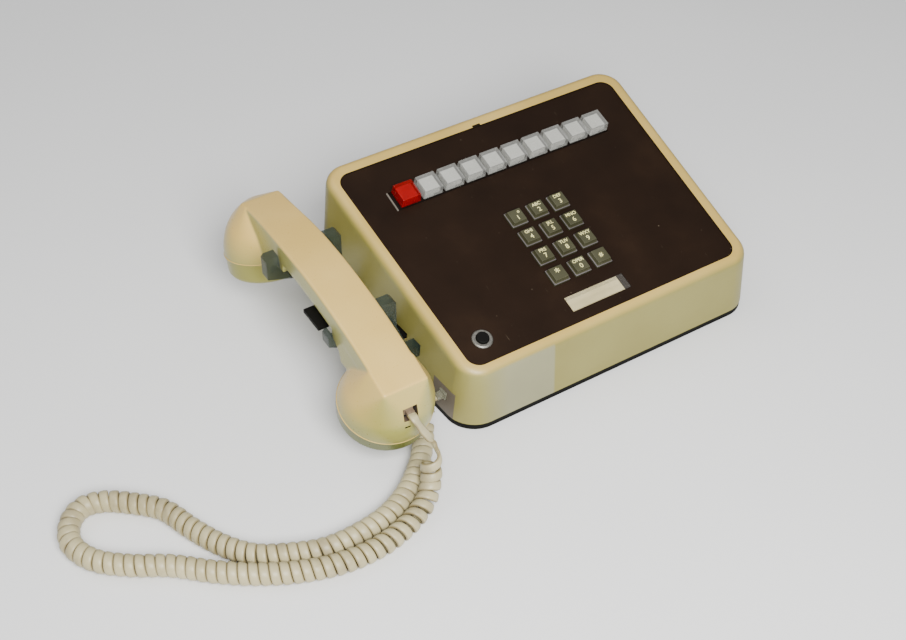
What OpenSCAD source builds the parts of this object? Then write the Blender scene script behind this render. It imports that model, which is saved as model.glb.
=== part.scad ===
// Ten-line desk telephone: wedge housing, sunk faceplate with line keys and keypad, handset in a side
// cradle, and a curly handset cord on the desk. Millimetres. The desk is z = 0 and +Y is the back.

/* [Faceplate] */
// Slope of the faceplate, in degrees
slope = 15; // [10:1:20]
// Width of the faceplate along its back edge
plate_back_w = 250; // [240:1:280]
// Width of the faceplate along its front edge
plate_front_w = 236; // [228:1:246]
// Length of the faceplate along its slope
plate_d = 188; // [184:1:210]
// Radius of the faceplate's corners
plate_r = 10; // [8:0.5:14]
// Thickness of the faceplate
plate_t = 2.5; // [2:0.1:3.5]
// Height of the middle of the faceplate above the desk
plate_z = 78.5; // [74:0.5:90]
// Gap between the faceplate and its recess
plate_gap = 0.25; // [0.1:0.05:0.5]

/* [Housing] */
// Width of the rim round the faceplate
rim = 9; // [8:0.5:12]
// Further width of the rim along the back
rim_back = 3; // [0:0.25:6]
// Further width of the rim on the right
rim_right = 3; // [0:0.25:6]
// Distance that the foot of the front wall is drawn in
front_tuck = 3.5; // [0:0.25:5]
// Height of the rim above the faceplate
rim_h = 1; // [0.5:0.1:2]
// Radius of the rim's rounded edge
edge_r = 7; // [4:0.5:8]
// Outward draft of the walls, in degrees
draft = 5; // [3:0.5:7]
// Thickness of the walls
wall = 3; // [2.5:0.25:4]
// Width of the ledge that carries the faceplate
ledge_w = 6; // [4:0.5:7]
// Thickness of that ledge
ledge_t = 2.5; // [2:0.25:4]
// Width of the pry notch in the back rim
notch_w = 7; // [5:0.5:10]
// Depth of the pry notch behind the faceplate
notch_d = 2; // [1.5:0.25:3]
// Width of the line cord inlet in the back wall
inlet_w = 26; // [18:1:40]
// Height of that inlet
inlet_h = 12; // [9:0.5:18]

/* [Base] */
// Thickness of the base plate
base_t = 2.5; // [2:0.25:4]
// Set-back of the base plate from the housing's foot
base_inset = 1.5; // [0.5:0.25:3]
// Height of the rubber feet
foot_h = 3; // [2:0.5:6]
// Radius of the rubber feet
foot_r = 7; // [5:0.5:10]
// Radius of the screw bosses in the housing
boss_r = 5; // [4:0.25:6]
// Radius of the base screws
screw_r = 1.5; // [1.25:0.25:2]
// Length of the base screws above the base plate
screw_l = 12; // [8:1:20]
// Height of the main board above the base plate
board_rise = 8; // [6:1:14]
// Width of the main board
board_w = 145; // [120:5:150]
// Depth of the main board
board_d = 100; // [80:5:110]
// Thickness of the circuit boards
board_t = 1.6; // [1:0.1:2.4]
// Height of the flat parts on the main board
chip_h = 5; // [3:0.5:8]
// Height of the round parts on the main board
can_h = 11; // [8:0.5:14]
// Radius of the ringer capsule
ringer_r = 20; // [16:1:22]
// Height of the ringer capsule
ringer_h = 15; // [10:1:25]

/* [Line keys] */
// Pitch of the line keys
line_pitch = 19.05; // [18:0.05:20]
// Distance of the key row up the faceplate from its middle
line_v = 57; // [50:0.5:62]
// Distance of the key row to the right of the faceplate's middle
line_u = 0.5; // [-2:0.1:3]
// Width of a line key cap at its foot
cap_w = 16.6; // [15:0.1:17]
// Width of a line key cap at its top
cap_top_w = 15.8; // [14.5:0.1:16.4]
// Height of a line key cap above the faceplate
cap_top_h = 8.8; // [7:0.1:10]
// Height of its lower edge above the faceplate
cap_foot_h = 0.6; // [0.4:0.1:1.5]
// Thickness of the top of a cap
cap_t = 2.2; // [0.6:0.1:2.6]
// Width of the block under a cap
block_w = 13; // [11:0.1:13.2]
// Gap between a block and its cap
block_gap = 0.1; // [0.05:0.05:0.2]
// Width of a line key's stem
stem_w = 8; // [6:0.5:10]
// Travel of a line key
line_travel = 4; // [2:0.25:5]
// Length of a stem below the cap
stem_l = 14.6; // [12:0.2:18]
// Wall of the line key frame
tray_wall = 1.2; // [1:0.1:1.6]
// Room between the first key and the left end of the frame
tray_end = 2.6; // [1:0.1:4]
// Room between the caps and the frame's other sides
tray_side = 0.6; // [0.4:0.1:1]
// Height of the frame's left lip above the faceplate
tray_lip = 0.3; // [0.1:0.1:0.5]
// Width of the frame's flange under the faceplate
flange_w = 4; // [3:0.5:6]
// Thickness of that flange
flange_t = 2; // [1.5:0.25:3]

/* [Number keys] */
// Pitch of the number keys
pad_pitch = 19.05; // [18:0.05:20]
// Place of the keypad's middle across the faceplate
pad_u = -1; // [-10:0.5:10]
// Place of the keypad's middle along the faceplate
pad_v = -24; // [-28:0.5:-16]
// Width of a number key at its foot
key_w = 13.9; // [12:0.1:14.6]
// Width of its body above the flange
key_body_w = 12.2; // [10:0.1:13]
// Width of a number key at its top
key_top_w = 11; // [9:0.1:12]
// Height of a number key above the faceplate
key_h = 4.6; // [3.5:0.1:6]
// Height of its square foot above the faceplate
key_foot_h = 1.4; // [0.8:0.1:2]
// Travel of a number key
key_travel = 2.5; // [1.5:0.1:3]
// Gap between a moving key and what guides it
key_gap = 0.3; // [0.2:0.05:0.4]
// Width of the lip that keeps a key under the faceplate
lip_w = 0.9; // [0.6:0.1:1.2]
// Thickness of that lip
lip_t = 1.4; // [1:0.1:2]
// Depth of the keypad frame under the faceplate
pad_frame_h = 9.5; // [8.5:0.25:14]
// Wall of the keypad frame
pad_wall = 2.5; // [1.5:0.25:3]
// Height of the contact domes on the keypad board
dome_t = 0.8; // [0.4:0.1:1.2]

/* [Number card] */
// Width of the card window
window_w = 52; // [40:1:60]
// Depth of the card window along the faceplate
window_d = 13.2; // [10:0.2:16]
// Place of the window across the faceplate
window_u = -0.5; // [-10:0.5:10]
// Distance of the window's middle from the front edge of the faceplate
window_front = 16.4; // [14:0.2:20]
// Width of the card
card_w = 46.4; // [36:0.2:50]
// Thickness of the card
card_t = 0.3; // [0.2:0.1:0.5]
// Thickness of the window
window_t = 0.8; // [0.5:0.1:1]
// Gap round the window and the card
window_gap = 0.2; // [0.1:0.05:0.4]

/* [Push button] */
// Distance of the button from the left edge of the faceplate
button_side = 19.2; // [17:0.1:28]
// Distance of the button from the front edge of the faceplate
button_front = 18.5; // [16:0.5:26]
// Radius of the button
button_r = 4.75; // [3.5:0.25:5.5]
// Height of the button above the faceplate
button_h = 3.6; // [2.5:0.1:5]
// Travel of the button
button_travel = 2; // [1:0.1:2.4]
// Gap between the button and its bush
button_gap = 0.2; // [0.15:0.05:0.3]
// Wall of the bush
bush_wall = 1.2; // [1:0.1:1.6]
// Width of the ring on the faceplate beyond the bush
ring_w = 1.6; // [1:0.1:2.2]
// Height of the ring
ring_h = 1.6; // [1:0.1:2]
// Length of the bush below the faceplate
bush_l = 12; // [11:0.5:16]

/* [Handset] */
// Length of the handle's flat top, end to end
handset_l = 212; // [208:1:220]
// Rise of the handle's arch over that length
handset_sag = 14.7; // [12:0.1:18]
// Width of the handle's flat top
handle_w = 36; // [34:0.5:38]
// Thickness of the handle
handle_t = 24.5; // [22:0.5:26]
// Inward lean of the handle's sides, in degrees
handle_lean = 1; // [0:1:8]
// Radius of the handle's lower edges
handle_r = 6; // [4:0.5:7]
// Height of the ends of the flat top above the middle of the faceplate
handset_rise = 14.1; // [12:0.1:18]
// Tilt of the handset, its ear end up, in degrees
handset_tilt = 4; // [2:0.5:6]
// Distance from the rim to the middle of the handset
cradle_reach = 50.5; // [49:0.5:56]
// Shift of the handset towards the back
handset_y = -1.5; // [-4:0.5:4]
// Distance from the middle at which the handle starts to widen into the ear cup
ear_skin_s = 62; // [56:1:72]
// Distance from the middle at which the handle starts to widen into the mouth cup
mouth_skin_s = 58; // [52:1:72]
// Radius of the ear cup at its seam
ear_r = 33; // [31:0.5:34]
// Radius of the mouth cup at its seam
mouth_r = 33.5; // [31:0.5:34.5]
// Distance of the ear cap from the handset's middle
ear_s = 92; // [90:0.5:94]
// Distance of the mouth cap from the handset's middle
mouth_s = 76; // [75:0.5:80]
// Depth of the ear cap's face below the ends of the flat top
ear_drop = 58.4; // [56:0.2:60]
// Depth of the mouth cap's face below the ends of the flat top
mouth_drop = 54; // [52:0.2:56]
// Inward tilt of the ear cap, in degrees
ear_tilt = 20; // [16:1:22]
// Inward tilt of the mouth cap, in degrees
mouth_tilt = 14; // [12:1:18]
// Depth of the ear cap
ear_cap_h = 16.5; // [15:0.5:18]
// Depth of the mouth cap
mouth_cap_h = 14; // [13:0.5:16]
// Height of a cup's dome above its seam
dome_h = 42; // [40:0.5:44]
// Radius of the inside corner between the handle and the ear cup
ear_throat_r = 30; // [20:1:32]
// Radius of the inside corner between the handle and the mouth cup
mouth_throat_r = 10; // [6:1:12]
// Wall of a cup at its seam
cup_wall = 3.4; // [3:0.1:4]
// Thickness of a cap's face
face_t = 2.5; // [2:0.1:3]
// Height of the screw collar on a cap
collar_h = 6; // [4:0.5:7]
// Gap between a cap's collar and its cup
collar_gap = 0.3; // [0.15:0.05:0.4]
// Thickness of a cap's collar
collar_t = 2.2; // [1.6:0.1:2.6]
// Radius of the sound holes
sound_r = 1.2; // [0.8:0.1:1.6]
// Radius of the ring of sound holes
sound_ring = 9; // [7:0.5:12]

/* [Cradle] */
// Thickness of a cradle yoke along the handset
yoke_t = 9; // [7:0.5:12]
// Place of the back yoke along the body
back_yoke_y = 42; // [38:0.5:44]
// Place of the front yoke along the body
front_yoke_y = -36; // [-38:0.5:-34]
// Reach of a yoke's inner ear from the middle of the handle
yoke_half_w = 31.5; // [28:0.5:33]
// Reach of the back yoke's outer ear from the middle of the handle
back_out_w = 28; // [25:0.5:31]
// Height of the ears above the seat
ear_rise = 16; // [12:0.5:18]
// Height of the front yoke's outer lip above its seat
lip_rise = 8; // [5:0.5:10]
// Half of the front yoke's width on its outer side
lip_half_w = 21.5; // [20.5:0.5:26]
// Thickness of a yoke under the handle
seat_t = 9; // [7:0.5:12]
// Gap between the handset and what carries it
rest_gap = 0.3; // [0.2:0.05:0.4]
// Height of the middle of the cradle arms where they pass the wall
arm_z = 37; // [34:0.5:40]
// Depth of a cradle arm
arm_t = 10; // [8:0.5:12]
// Gap between an arm and its hole in the wall
arm_gap = 0.3; // [0.2:0.05:0.5]
// Reach of a yoke's neck beyond its ears, towards the wall
neck_out = 10; // [8:0.5:12]
// Width of the hook lever
lever_w = 22; // [18:0.5:26]
// Place of the hook lever along the body
lever_y = -12; // [-14:0.5:-8]
// Thickness of the hook lever
lever_t = 3; // [2:0.25:4]
// Distance that the lever's end stands out from the middle of the handset
lever_out = 20.3; // [19:0.1:23]
// Distance of the lever's pivot inside the handset's middle
pivot_in = 69; // [67:0.5:72]
// Reach of the lever's tail beyond its pivot
tail_in = 12; // [10:0.5:14]
// Reach of the lever's bend beyond the yokes' ears
bend_out = 4; // [3:0.5:6]
// Radius of the pivot pin
pin_r = 2; // [1.5:0.25:2.5]
// Running clearance of the pivot pin
pin_gap = 0.05; // [0.02:0.01:0.08]

/* [Jacks] */
// Width of the jack plate in the left wall
jack_w = 25; // [22:0.5:28]
// Height of the jack plate above the base plate
jack_h = 23; // [20:0.5:26]
// Place of the jack plate along the body
jack_y = -72; // [-74:0.5:-68]
// Depth of the jack plate behind the wall's face
jack_d = 14; // [13:0.5:18]
// Height of the base plug's middle above the desk
plug_z = 20.5; // [19:0.5:22]
// Width of a modular plug
plug_w = 7.6; // [7:0.1:8]
// Height of a modular plug
plug_h = 6.4; // [6:0.1:7]
// Gap between a plug or jack and its socket
plug_gap = 0.2; // [0.1:0.05:0.3]
// Wall of the handset jack round its socket
jack_wall = 1.2; // [1:0.1:2]
// Depth of the handset jack
hand_jack_d = 11; // [10:0.5:12]
// Place of the handset jack below the ends of the flat top
hand_jack_drop = 19.4; // [18:0.2:21]

/* [Cord] */
// Width of the flat cord
cord_w = 4.5; // [4:0.1:4.6]
// Thickness of the flat cord
cord_t = 2.3; // [2:0.1:2.5]
// Outer diameter of the curls
curl_d = 15; // [14:0.1:15.2]
// Number of curls
curls = 93; // [84:1:95]

/* [Hidden] */
$fn = 64;
ROW = 10;
PAD = [3, 4];

// Overlap that keeps a cut clear of a face, and a length past any wall
eps = 0.01;
far = 400;

// Faceplate outline: half widths, corner arcs and their places
side_lean = atan((plate_back_w - plate_front_w) / 2 / plate_d);
function half_w(v) = plate_front_w / 2 + (v + plate_d / 2) * tan(side_lean);
function corner_v(end) = end * (plate_d / 2 - plate_r);
function corner_u(end) = half_w(corner_v(end)) - plate_r / cos(side_lean);
function corner_y(end) = corner_v(end) * cos(slope);
function corner_z(end) = plate_z + corner_v(end) * sin(slope);

// Levels of the base and radii of the housing's corners
base_z = foot_h;
shell_z = base_z + base_t;
rim_r = plate_r + rim;
function foot_corner_r(end) = rim_r + (corner_z(end) - shell_z) * tan(draft);
function rim_u(side, end) = side * corner_u(end) + (side > 0 ? rim_right : 0);
function rim_v(end) = corner_v(end) + (end > 0 ? rim_back : 0);
function foot_y(end) = corner_y(end) + (end > 0 ? rim_back * cos(slope) : front_tuck);
function wall_x(y, z) = -half_w(y / cos(slope)) - rim / cos(side_lean)
    - (plate_z + y * tan(slope) - z) * tan(draft);

// Handset: its middle, the arch of its handle, and the height of the handle's underside
hand_x = -half_w(0) - rim - cradle_reach;
hand_z = plate_z + handset_rise;
arch_r = (handset_l * handset_l / 4 + handset_sag * handset_sag) / 2 / handset_sag;
arch_a = asin(handset_l / 2 / arch_r);
function hand_to_y(s, w) = handset_y + s * cos(handset_tilt) - w * sin(handset_tilt);
function hand_to_z(s, w) = hand_z + s * sin(handset_tilt) + w * cos(handset_tilt);
function under_w(s) = sqrt(pow(arch_r - handle_t, 2) - s * s) - arch_r + handset_sag;
function under_z(y) = hand_to_z(y - handset_y, under_w(y - handset_y));

// Seams of the two cups in the handset's own frame, their raised edge, and how far their domes reach
seam_lip = 0.4;
seam_h = 1;
ear_seam = [ear_s + ear_cap_h * sin(ear_tilt), ear_cap_h * cos(ear_tilt) - ear_drop];
mouth_seam = [-mouth_s - mouth_cap_h * sin(mouth_tilt), mouth_cap_h * cos(mouth_tilt) - mouth_drop];
function dome_reach(r, a) = sqrt(pow(r * cos(a), 2) + pow(dome_h * sin(a), 2));
y_high = hand_to_y(ear_seam.x, ear_seam.y) + dome_reach(ear_r, ear_tilt - handset_tilt);
y_low = hand_to_y(mouth_seam.x, mouth_seam.y) - dome_reach(mouth_r, mouth_tilt + handset_tilt);
x_high = max(rim_u(1, 1) + foot_corner_r(1), rim_u(1, -1) + foot_corner_r(-1));
x_low = hand_x - mouth_r - seam_lip;

// Origin: the middle of the floor that the body and the handset cover
body_x = -(x_high + x_low) / 2;
body_y = -(y_high + y_low) / 2;

module on_body() { translate([body_x, body_y, 0]) children(); }
module on_plate() { translate([body_x, body_y, plate_z]) rotate([slope, 0, 0]) children(); }
module on_handset() {
    translate([body_x + hand_x, body_y + handset_y, hand_z]) rotate([handset_tilt, 0, 0]) children();
}
module on_ear() { on_handset() translate([0, ear_s, -ear_drop]) rotate([-ear_tilt, 0, 0]) children(); }
module on_mouth() {
    on_handset() translate([0, -mouth_s, -mouth_drop]) rotate([mouth_tilt, 0, 0]) children();
}

// Box with its middle at x = y = 0 and its foot at z
module block(size, z = 0) { translate([-size.x / 2, -size.y / 2, z]) cube(size); }

// Square block that narrows towards its top
module taper_block(foot_w, top_w, h) {
    side = [[-foot_w / 2, 0], [foot_w / 2, 0], [top_w / 2, h], [-top_w / 2, h]];
    intersection() {
        rotate([90, 0, 0]) linear_extrude(foot_w, center = true) polygon(side);
        rotate([90, 0, 90]) linear_extrude(foot_w, center = true) polygon(side);
    }
}

// Housing

// Slab with the faceplate's outline, grown outwards
module plate_slab(h, grow = 0) {
    r = plate_r + grow;
    right = [
        [corner_u(1), corner_v(1) + r],
        [corner_u(1) + r * cos(side_lean), corner_v(1) - r * sin(side_lean)],
        [corner_u(-1) + r * cos(side_lean), corner_v(-1) - r * sin(side_lean)],
        [corner_u(-1), corner_v(-1) - r]
    ];
    linear_extrude(h) polygon(concat(right, [for (i = [3:-1:0]) [-right[i].x, right[i].y]]));
    for (side = [-1, 1], end = [-1, 1])
        translate([side * corner_u(end), corner_v(end), 0]) cylinder(r = r, h = h);
}

// One corner of the rim, with its rounded edge
module rim_corner() {
    turn = [for (a = [0:15:90]) [rim_r - edge_r + edge_r * cos(a), rim_h - edge_r + edge_r * sin(a)]];
    low = rim_h - edge_r - 1;
    rotate_extrude($fn = 48) polygon(concat([[0, low], [rim_r, low]], turn, [[0, rim_h]]));
}

// Solid form of the housing, from the rim down to its foot
module housing_form() {
    hull() for (side = [-1, 1], end = [-1, 1]) {
        on_plate() translate([rim_u(side, end), rim_v(end), 0]) rim_corner();
        on_body() translate([rim_u(side, end), foot_y(end), shell_z])
            cylinder(r = foot_corner_r(end), h = eps, $fn = 48);
    }
}

// Room inside the housing, under the ledge
module housing_room() {
    top = -plate_t - ledge_t;
    hull() for (side = [-1, 1], end = [-1, 1]) {
        on_plate() translate([rim_u(side, end), rim_v(end), top - 1])
            cylinder(r = rim_r - wall, h = 1, $fn = 48);
        on_body() translate([rim_u(side, end), foot_y(end), shell_z - 1])
            cylinder(r = foot_corner_r(end) - wall, h = 1, $fn = 48);
    }
}

// Screw bosses stand under the ledge at the corners of the faceplate
module at_bosses(z) {
    on_body() for (side = [-1, 1], end = [-1, 1])
        translate([side * corner_u(end), corner_y(end), z]) children();
}

module housing() {
    color("#cdbb8c") difference() {
        union() {
            difference() {
                housing_form();
                housing_room();
            }
            intersection() {
                at_bosses(shell_z) cylinder(r = boss_r, h = far);
                on_plate() translate([0, 0, -far - plate_t - ledge_t / 2]) block([far * 2, far * 2, far]);
            }
        }
        on_plate() translate([0, 0, -plate_t]) plate_slab(far, plate_gap);
        on_plate() translate([0, 0, -plate_t - ledge_t - 1]) plate_slab(far, -ledge_w);
        on_plate() translate([-notch_w / 2, plate_d / 2 - 1, -plate_t - ledge_t - 1])
            cube([notch_w, notch_d + 1, far]);
        at_bosses(shell_z - 1) cylinder(r = screw_r + pin_gap, h = screw_l + 2);
        on_body() translate([-inlet_w / 2, corner_y(1), shell_z - 1])
            cube([inlet_w, far, inlet_h + 1]);
        on_body() for (y = [back_yoke_y, front_yoke_y])
            wall_hole(y, yoke_t + 2 * arm_gap, arm_z - arm_t / 2 - arm_gap, arm_t + 2 * arm_gap);
        on_body() wall_hole(lever_y, lever_w + 2 * lever_slack,
            arm_z - lever_t / 2 - lever_slack, lever_t + 3 * lever_slack);
        on_body() wall_hole(jack_y, jack_w + 2 * plug_gap, shell_z - 1, jack_h + plug_gap + 1);
    }
}
lever_slack = 1;

// Square hole through the left wall
module wall_hole(y, w, z, h) {
    translate([wall_x(y, z) - far / 2, y - w / 2, z]) cube([far / 2 + 2 * wall + 2, w, h]);
}

module faceplate() {
    color("#2b201b") on_plate() difference() {
        translate([0, 0, -plate_t]) plate_slab(plate_t);
        translate([tray_left - window_gap, line_v - tray_d / 2 + tray_wall - window_gap, -far / 2])
            cube([tray_l - tray_wall + 2 * window_gap, tray_d - 2 * tray_wall + 2 * window_gap, far]);
        for (i = [0:PAD.x * PAD.y - 1])
            at_number(i) block([key_w + 2 * key_gap, key_w + 2 * key_gap, far], -far / 2);
        translate([window_u, window_v, 0]) block([window_w, window_d, far], -window_t - card_t);
        translate([button_u, button_v, -far / 2]) cylinder(r = bush_r + pin_gap, h = far);
    }
}

// Base

module base_plate() {
    color("#26221d") difference() {
        union() {
            on_body() translate([0, 0, base_z]) linear_extrude(base_t) hull()
                for (side = [-1, 1], end = [-1, 1]) translate([rim_u(side, end), foot_y(end)])
                    circle(foot_corner_r(end) - base_inset, $fn = 48);
            at_standoffs() cylinder(r = standoff_r, h = board_rise + eps);
        }
        at_bosses(base_z - 1) cylinder(r = screw_r + screw_gap, h = base_t + 2);
    }
}
standoff_r = 3;
screw_gap = 0.3;
ringer_x = corner_u(1) - boss_r - ringer_r;
board_x = ringer_x - ringer_r - 2 * standoff_r - board_w / 2;
module at_standoffs() {
    reach = [board_w / 2 - 2 * standoff_r, board_d / 2 - 2 * standoff_r];
    on_body() for (i = [-1, 1], j = [-1, 1])
        translate([board_x + i * reach.x, j * reach.y, shell_z - eps]) children();
}

// Feet stand inside the screws, on the same diagonals
module rubber_feet() {
    inset = boss_r + foot_r + 3;
    color("#1b1a18") on_body() for (side = [-1, 1], end = [-1, 1])
        translate([side * (corner_u(end) - inset), end * (corner_y(1) - inset), 0]) {
            cylinder(r = foot_r, h = foot_h);
        }
}

module base_screws() {
    color("#8d8c88") at_bosses(base_z) {
        translate([0, 0, -head_h]) cylinder(r = 2 * screw_r, h = head_h);
        translate([0, 0, -eps]) cylinder(r = screw_r, h = base_t + screw_l);
    }
}
head_h = 1.8;

module main_board() {
    top = board_t;
    color("#4b6b3c") on_body() translate([board_x, 0, shell_z + board_rise]) {
        block([board_w, board_d, board_t]);
        for (i = [0:4]) translate([(i - 2) * board_w / 6, board_d / 4, top - eps])
            block([board_w / 12, board_d / 5, chip_h]);
        for (i = [0:5]) translate([(i - 2.5) * board_w / 7, -board_d / 4, top - eps])
            cylinder(r = board_w / 30, h = can_h);
    }
}

module ringer() {
    color("#2a2a2a") on_body() translate([ringer_x, 0, shell_z]) difference() {
        cylinder(r = ringer_r, h = ringer_h);
        translate([0, 0, ringer_h - 2]) cylinder(r = ringer_r / 6, h = 3);
    }
}

// Line keys

tray_l = (ROW - 1) * line_pitch + cap_w + tray_end + tray_side + 2 * tray_wall;
tray_d = cap_w + 2 * tray_side + 2 * tray_wall;
tray_u = line_u - (tray_end - tray_side) / 2;
tray_left = tray_u - tray_l / 2;
tray_floor = cap_foot_h - line_travel - tray_side;
stem_end = cap_foot_h - stem_l;
stem_gap = key_gap;
module at_line(i) { translate([line_u + (i - (ROW - 1) / 2) * line_pitch, line_v, 0]) children(); }

// Tray with a lip round the keys, a flange under the faceplate and wells for the stems
module line_key_frame() {
    well = stem_end - line_travel - key_gap;
    room_d = tray_d - 2 * tray_wall;
    color("#b9b4a8") on_plate() difference() {
        union() {
            translate([tray_u, line_v, 0]) block([tray_l, tray_d, -plate_t - well + 2], well - 2);
            translate([tray_u, line_v, 0])
                block([tray_l + 2 * flange_w, tray_d + 2 * flange_w, flange_t], -plate_t - flange_t);
            translate([tray_left, line_v - room_d / 2, -plate_t - flange_t])
                cube([tray_wall, room_d, plate_t + flange_t + tray_lip]);
        }
        translate([tray_u, line_v, 0]) block([tray_l - 2 * tray_wall, room_d, far], tray_floor);
        for (i = [0:ROW - 1])
            at_line(i) block([stem_w + 2 * stem_gap, stem_w + 2 * stem_gap, far], well);
    }
}

// White or red block with the stem that works its switch
module line_key(i) {
    color(i == 0 ? "#b3120c" : "#e4e2da") on_plate() at_line(i) {
        block([block_w, block_w, cap_top_h - cap_t - block_gap - cap_foot_h], cap_foot_h);
        block([stem_w, stem_w, stem_l + eps], stem_end);
    }
}

// Clear cap over the block
module line_cap(i) {
    room = block_w + 2 * block_gap;
    color(i == 0 ? "#d01810" : "#c9cac6", 0.6) on_plate() at_line(i) difference() {
        translate([0, 0, cap_foot_h]) taper_block(cap_w, cap_top_w, cap_top_h - cap_foot_h);
        block([room, room, cap_top_h - cap_t], 0);
    }
}

// Keypad

module at_number(i) {
    column = i % PAD.x - (PAD.x - 1) / 2;
    row = (PAD.y - 1) / 2 - floor(i / PAD.x);
    translate([pad_u + column * pad_pitch, pad_v + row * pad_pitch, 0]) children();
}
pad_room = [(PAD.x - 1) * pad_pitch, (PAD.y - 1) * pad_pitch] + [1, 1] * (key_w + 2 * lip_w + 2);
pad_floor = -plate_t - pad_frame_h;

module number_key(i) {
    lip_top = -plate_t - key_gap;
    foot = pad_floor + dome_t + key_travel + key_gap;
    color("#55543f") on_plate() at_number(i) {
        translate([0, 0, key_foot_h - eps]) taper_block(key_body_w, key_top_w, key_h - key_foot_h + eps);
        block([key_w, key_w, key_foot_h - lip_top + lip_t], lip_top - lip_t);
        block([key_w + 2 * lip_w, key_w + 2 * lip_w, lip_t], lip_top - lip_t);
        block([key_w / 2, key_w / 2, lip_top - foot], foot);
    }
}

module keypad_frame() {
    outer = pad_room + [2, 2] * pad_wall;
    color("#1d1a18") on_plate() translate([pad_u, pad_v, 0]) difference() {
        block([outer.x, outer.y, pad_frame_h], pad_floor);
        block([pad_room.x, pad_room.y, far], -far / 2);
    }
}

// Board with a contact dome under each key
module keypad_board() {
    outer = pad_room + [2, 2] * pad_wall;
    color("#6d5a2e") on_plate() {
        translate([pad_u, pad_v, 0]) block([outer.x, outer.y, board_t], pad_floor - board_t);
        for (i = [0:PAD.x * PAD.y - 1])
            at_number(i) translate([0, 0, pad_floor - eps]) cylinder(r = key_w / 4, h = dome_t);
    }
}

// Number card and push button

window_v = window_front - plate_d / 2;
module number_card() {
    color("#d5d0b4") on_plate() translate([window_u - (window_w - card_w) / 2 + window_gap, window_v, 0])
        block([card_w, window_d - 2 * window_gap, card_t], -window_t - card_t);
}

module card_window() {
    color("#b8c0c0", 0.5) on_plate() translate([window_u, window_v, 0])
        block([window_w - 2 * window_gap, window_d - 2 * window_gap, window_t], -window_t);
}

bush_r = button_r + button_gap + bush_wall;
button_v = button_front - plate_d / 2;
button_u = button_side - half_w(button_v);
nut_t = 2.5;

// Ring and bush with a nut under the faceplate
module button_switch() {
    profile = [[0, -plate_t - bush_l], [bush_r, -plate_t - bush_l], [bush_r, 0], [bush_r + ring_w, 0],
        [bush_r + ring_w, ring_h / 2], [bush_r + ring_w / 2, ring_h], [0, ring_h]];
    color("#8a8a86") on_plate() translate([button_u, button_v, 0]) difference() {
        union() {
            rotate_extrude() polygon(profile);
            translate([0, 0, -plate_t - nut_t]) cylinder(r = bush_r + nut_t, h = nut_t, $fn = 6);
        }
        translate([0, 0, -plate_t - button_depth - button_travel - key_gap])
            cylinder(r = button_r + button_gap, h = far);
    }
}
button_depth = 5;

module push_button() {
    crown = 0.8;
    low = -plate_t - button_depth;
    profile = [[0, low], [button_r, low], [button_r, button_h - crown],
        [button_r - crown / 3, button_h - crown / 3], [button_r - crown, button_h], [0, button_h]];
    color("#14120f") on_plate() translate([button_u, button_v, 0]) rotate_extrude() polygon(profile);
}

// Jacks and plugs

// Modular jack moulding in a notch of the left wall, flush with the wall
module jack_plate() {
    face = wall_x(jack_y, shell_z);
    color("#77766f") difference() {
        intersection() {
            housing_form();
            on_body() translate([face - wall, jack_y - jack_w / 2, shell_z])
                cube([jack_d + wall, jack_w, jack_h]);
        }
        on_body() translate([plug_x - far, jack_y - plug_w / 2 - plug_gap, plug_z - plug_h / 2 - plug_gap])
            cube([far + plug_in + plug_gap, plug_w + 2 * plug_gap, plug_h + 2 * plug_gap]);
    }
}

plug_x = wall_x(jack_y, plug_z);
plug_in = jack_d - wall;
plug_out = 1;
boot_l = 5;
boot_w = cord_w + 1.2;
boot_t = cord_t + 1.2;
module base_plug() {
    color("#cfcfc4") on_body() translate([plug_x, jack_y, plug_z]) {
        translate([-plug_out, -plug_w / 2, -plug_h / 2]) cube([plug_in + plug_out, plug_w, plug_h]);
        translate([-plug_out - boot_l, -boot_w / 2, -boot_t / 2]) cube([boot_l + eps, boot_w, boot_t]);
    }
}

// Socket in the end of the mouth cup
hand_jack_face = -109.8;
module handset_jack() {
    outer = [plug_w + 2 * plug_gap + 2 * jack_wall, hand_jack_d, plug_h + 2 * plug_gap + 2 * jack_wall];
    color("#3b3833") on_handset() translate([0, hand_jack_face, -hand_jack_drop]) difference() {
        translate([-outer.x / 2, 0, -outer.z / 2]) cube(outer);
        translate([-plug_w / 2 - plug_gap, -1, -plug_h / 2 - plug_gap])
            cube([plug_w + 2 * plug_gap, hand_jack_d - 1, plug_h + 2 * plug_gap]);
    }
}

hand_plug_end = -113.2;
module handset_plug() {
    color("#cfcfc4") on_handset() translate([0, 0, -hand_jack_drop]) {
        translate([-plug_w / 2, hand_jack_face + 0.5, -plug_h / 2]) cube([plug_w, hand_jack_d - 3, plug_h]);
        translate([-boot_w / 2, hand_plug_end, -boot_t / 2])
            cube([boot_w, hand_jack_face + 1 - hand_plug_end, boot_t]);
    }
}

// Handset

// Section of the handle: flat top at x = 0, sides leaning in, round lower edges
module handle_section(grow = 0) {
    t = handle_t + grow;
    r = handle_r + grow;
    half = handle_w / 2 + grow / cos(handle_lean);
    centre = half - (t - r) * tan(handle_lean) - r / cos(handle_lean);
    side = [[0, half], [r - t - r * sin(handle_lean), centre + r * cos(handle_lean)], [-t, centre]];
    polygon(concat(side, [for (i = [2:-1:0]) [side[i].x, -side[i].y]]));
    for (k = [-1, 1]) translate([r - t, k * centre]) circle(r);
}

// Part of the arch, between two angles from its middle, along the handset
module arch(from, to) {
    translate([0, 0, handset_sag - arch_r]) rotate([0, -90, 0]) rotate([0, 0, from])
        rotate_extrude(angle = to - from, $fn = 360) translate([arch_r, 0]) children();
}

// Dome of a cup on its seam
module cup_dome(r) {
    rise = [for (a = [0:10:90]) [r * cos(a), dome_h * sin(a)]];
    rotate_extrude($fn = 40) polygon(concat([[0, 0]], rise));
}

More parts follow.
